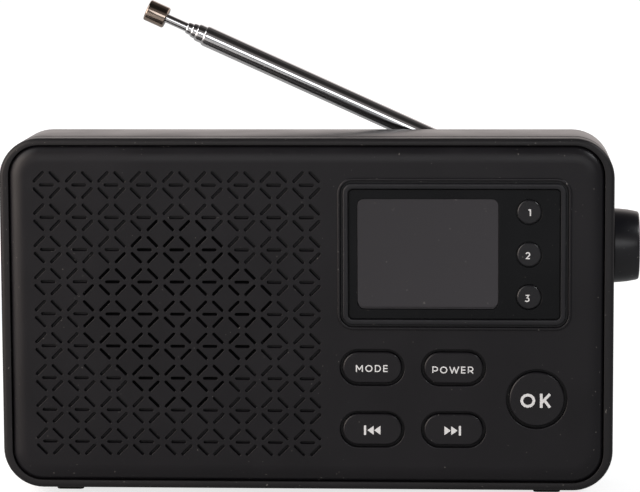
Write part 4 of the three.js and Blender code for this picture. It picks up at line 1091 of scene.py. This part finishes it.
foot_front = BODY_DEPTH + 0.1
ear_foot = foot_front + 0.4 - ROD_DEPTH
ear_outline = [(-EAR_RADIUS, ear_foot), (EAR_RADIUS, ear_foot),
               *arc((0, 0), EAR_RADIUS, 0, 180, 20)]
stem_profile = [(SWIVEL_STEM, SWIVEL_FRONT), (SWIVEL_STEM, foot_front), (SWIVEL_FOOT - 0.3, foot_front),
                (SWIVEL_FOOT, foot_front + 0.2), (SWIVEL_FOOT, foot_front + 0.5),
                (SWIVEL_FOOT - 0.3, foot_front + 0.8)]
swivel = mesh_object("antenna_swivel_ears", [
    turned(stem_profile, (ANTENNA_X, 0, ANTENNA_Z), BACK, 48),
    from_pin(ear_outline, EAR_INNER, EAR_OUTER), from_pin(ear_outline, -EAR_OUTER, -EAR_INNER),
])
fit(softened(swivel, 0.12), chrome, "antenna_base", "chrome_plate", "antenna_swivel")
head = EAR_OUTER + 0.05
pin_profile = [(0.7, -head - 0.4), (1.3, -head), (PIN_RADIUS, -head),
               (PIN_RADIUS, head), (1.3, head), (0.7, head + 0.4)]
pin = turned(pin_profile, PIN, ACROSS, 24)
piece("antenna_hinge_pin", [pin], zinc, "antenna_base", "steel", "antenna_pin")
bush_profile = [(BUSH_BORE, BUSH_FRONT), (BUSH_BODY, BUSH_FRONT), (BUSH_BODY, BODY_DEPTH - BUSH_STEP),
                (BUSH_RIM, BODY_DEPTH - BUSH_STEP), (BUSH_RIM, BODY_DEPTH - 0.1),
                (BUSH_RIM - 0.1, BODY_DEPTH), (BUSH_BORE + 0.1, BODY_DEPTH),
                (BUSH_BORE, BODY_DEPTH - 0.1)]
bush = turned(bush_profile, (ANTENNA_X, 0, ANTENNA_Z), BACK, 48, "loop")
piece("antenna_bush", [bush], chrome, "radio_case", "chrome_plate", "antenna_socket")

# ------------------------------ battery
# One lithium cell in a heat-shrunk sleeve, held between a conical steel spring and a flat
# contact, behind a door that turns about its own left edge.

CELL_RADIUS, CELL_LENGTH, CELL_NUB = 9.1, 65, 1.2
CELL_Y = BAY_FLOOR + GAP + 0.2 + CELL_RADIUS
CELL_Z = (DOOR_BOTTOM + DOOR_TOP) / 2
SPRING_ROOM, PLATE_HALF, PLATE = 3.6, 6, 0.5
CELL_LEFT = DOOR_LEFT + DOOR_LEDGE + SPRING_ROOM
CELL_END = CELL_LEFT + CELL_LENGTH


def sleeve_and_steel(name):
    """A grey-blue sleeve with bare steel at both ends."""
    material, shader, add, place = new_material(name)
    middle = in_frame((CELL_LEFT + CELL_END - CELL_NUB) / 2, 0, 0).x
    off = maths(add, "SUBTRACT", add("SeparateXYZ", {0: place}).outputs["X"], middle)
    bare = maths(add, "GREATER_THAN", maths(add, "ABSOLUTE", off), (CELL_LENGTH - 1.6) / 2 * MM)
    sleeve = shaded(add, (52, 104, 148), remap(add, noise(add, place, 120, 3), 0, 1, 0.85, 1.15))
    connect(shader, {"Base Color": blend(add, bare, sleeve, tone(175, 176, 178)),
                     "Metallic": bare, "Roughness": 0.35})
    return material


cell_profile = [
    (CELL_RADIUS - 0.6, CELL_LEFT), *arc((CELL_RADIUS - 0.6, CELL_LEFT + 0.6), 0.6, -90, 0, 3),
    (CELL_RADIUS, CELL_END - 2), *arc((CELL_RADIUS - 0.8, CELL_END - 2), 0.8, 0, 90, 3),
    (3, CELL_END - CELL_NUB), (3, CELL_END - 0.1), (2.9, CELL_END)]
cell = turned(cell_profile, (0, CELL_Y, CELL_Z), RIGHT, 64)
piece("lithium_cell", [cell], sleeve_and_steel("cell_sleeve"), "radio_case", "cell_can", "battery_cell")


def coil(left, length, wide, narrow, turns, wire, steps=20, sides=8):
    """A conical spring of round wire about the cell's axis."""
    rings = []
    for step in range(turns * steps + 1):
        share = step / (turns * steps)
        angle, radius = share * turns * 2 * math.pi, wide + (narrow - wide) * share
        out = Vector((0, math.cos(angle), math.sin(angle)))
        centre = Vector((left + length * share, CELL_Y, CELL_Z)) + out * radius
        around = [2 * math.pi * side / sides for side in range(sides)]
        rings.append([tuple(centre + out * wire * math.cos(t) + Vector((wire * math.sin(t), 0, 0)))
                      for t in around])
    return skin(rings)


plate_left = DOOR_LEFT + DOOR_LEDGE + GAP
contacts = [block(plate_left, plate_left + PLATE, CELL_Y - PLATE_HALF, CELL_Y + PLATE_HALF,
                  CELL_Z - PLATE_HALF, CELL_Z + PLATE_HALF),
            coil(plate_left + 0.6, length=2.2, wide=5, narrow=2.6, turns=2, wire=0.35)]
fit(mesh_object("cell_spring", contacts, 60), tinned_steel, "radio_case", "steel", "battery_spring")
keep(tinned_steel, "battery_contact")

door_radius = DOOR_THICKNESS / 2
door_axis = DOOR_LEFT + door_radius, BULGE_DEPTH - door_radius
door_end = [*arc(door_axis, door_radius, 90, 270, 12),
            (DOOR_RIGHT, BULGE_DEPTH - DOOR_THICKNESS), (DOOR_RIGHT, BULGE_DEPTH)]
door_rings = [[(x, y, z) for x, y in door_end] for z in (DOOR_BOTTOM, DOOR_TOP)]
door = mesh_object("battery_cover_moulding", [skin(door_rings)])
scoop = [(0.01, BULGE_DEPTH - 0.9), (2.4, BULGE_DEPTH - 0.65), (4, BULGE_DEPTH + 0.1)]
combined(door, [turned(scoop, (DOOR_RIGHT - 7, 0, CELL_Z), BACK)], "DIFFERENCE")
fit(softened(door, 0.2), case_black, "battery_cover", "case_plastic", "battery_door")

# ------------------------------ camera, lights and floor
# A long lens a little above and to the right of the radio, a pale floor and soft studio light.

CAMERA_PLACE = Vector((0.04846, -0.89211, 0.18463))
HEADING, PITCH_DOWN, ROLL = math.radians(3.166), math.radians(7.145), math.radians(-0.258)
LENS, SENSOR = 168.47, 36
camera = placed("camera", configured(bpy.data.cameras.new("camera"), lens=LENS, sensor_width=SENSOR))
aim = Matrix.Rotation(HEADING, 4, "Z") @ Matrix.Rotation(QUARTER - PITCH_DOWN, 4, "X")
camera.matrix_world = Matrix.Translation(CAMERA_PLACE) @ aim @ Matrix.Rotation(ROLL, 4, "Z")
bpy.context.scene.camera = camera


def softbox(name, place, target, size, power, colour):
    """A soft lamp of this size at a place, aimed at a target."""
    aim = (Vector(target) - Vector(place)).to_track_quat("-Z", "Y").to_euler()
    lamp = configured(bpy.data.lights.new(name, "AREA"), shape="RECTANGLE", size=size[0],
                      size_y=size[1], energy=power, color=colour)
    configured(placed(name, lamp), location=place, rotation_euler=aim)


softbox("key_light", (-0.9, -0.5, 1.05), (0, 0, 0.05), (0.9, 0.9), 7.6, (1, 0.98, 0.97))
softbox("front_light", (0.15, -1.1, 0.34), (0, 0, 0.08), (0.9, 0.35), 2.6, (0.97, 0.98, 1))
softbox("side_light", (-0.5, -0.34, 0.2), (-0.05, 0, 0.05), (0.42, 0.42), 3.2, (1, 0.87, 0.79))
softbox("rim_light", (0.85, -0.3, 0.9), (0.05, 0, 0.06), (0.3, 0.3), 5, (0.97, 0.98, 1))


def mirror_rays(add):
    """The light path, and whether the ray comes from a reflection or through glass."""
    rays = add("LightPath").outputs
    return rays, maths(add, "MAXIMUM", rays["Is Glossy Ray"], rays["Is Transmission Ray"])


def studio_world():
    """White where the camera looks. In reflections it is a studio: white behind the object, a dark
    ceiling and a grey room in front."""
    world = bpy.data.worlds.new("studio")
    world.use_nodes = True
    bpy.context.scene.world = world
    add = wiring(world.node_tree, "ShaderNode")
    axis = add("SeparateXYZ", {0: add("TexCoord").outputs["Generated"]}).outputs
    room = remap(add, axis["Y"], -0.1, 0.35, 0.25, 1)
    ceiling = remap(add, axis["Z"], 0.55, 0.75, 1, 0.12)
    seen = maths(add, "MULTIPLY", room, ceiling)
    rays, mirrored = mirror_rays(add)
    glow = add("Mix", {"Factor": mirrored, "A": 0.45, "B": seen})
    level = add("Mix", {"Factor": rays["Is Camera Ray"], "A": glow, "B": 1.0})
    tint = blend(add, mirrored, (1, 1, 1, 1), (1.15, 1.05, 1.02, 1))
    connect(world.node_tree.nodes["Background"], {"Strength": level, "Color": tint})


studio_world()


def pale_floor():
    """A pale diffuse floor that keeps shadows and reads as white to the camera and to reflections. Its
    glow to the camera is weaker near the radio than farther off, a painted shade that darkens the floor
    round it.
    """
    material, unused, add, place = new_material("floor_pale")
    nodes = material.node_tree.nodes
    nodes.remove(unused)
    matte = add("BsdfDiffuse", {"Color": (0.42, 0.42, 0.42, 1)})
    rays, mirrored = mirror_rays(add)
    dim = maths(add, "MULTIPLY", mirrored, 0.05)
    # Painted shade: the glow that the camera sees rises from 0.75 near the radio to 0.88 farther off.
    away = maths(add, "LENGTH", place, kind="VectorMath").outputs["Value"]
    white = remap(add, away, 0.2, 1, 0.75, 0.88)
    glow_with_painted_shade = add("Mix", {"Factor": rays["Is Camera Ray"], "A": dim, "B": white})
    both = add("AddShader", {0: matte, 1: add("Emission", {"Strength": glow_with_painted_shade})})
    connect(nodes["Material Output"], {"Surface": both})
    return material


FLOOR_CORNERS = [(-6, -6), (6, -6), (6, 6), (-6, 6)]
floor_mesh = bpy.data.meshes.new("floor")
floor_mesh.from_pydata([(x, y, cad_low.z) for x, y in FLOOR_CORNERS], [], [(0, 1, 2, 3)])
floor_mesh.materials.append(pale_floor())
placed("floor", floor_mesh)

bpy.context.scene.view_settings.view_transform = "Standard"
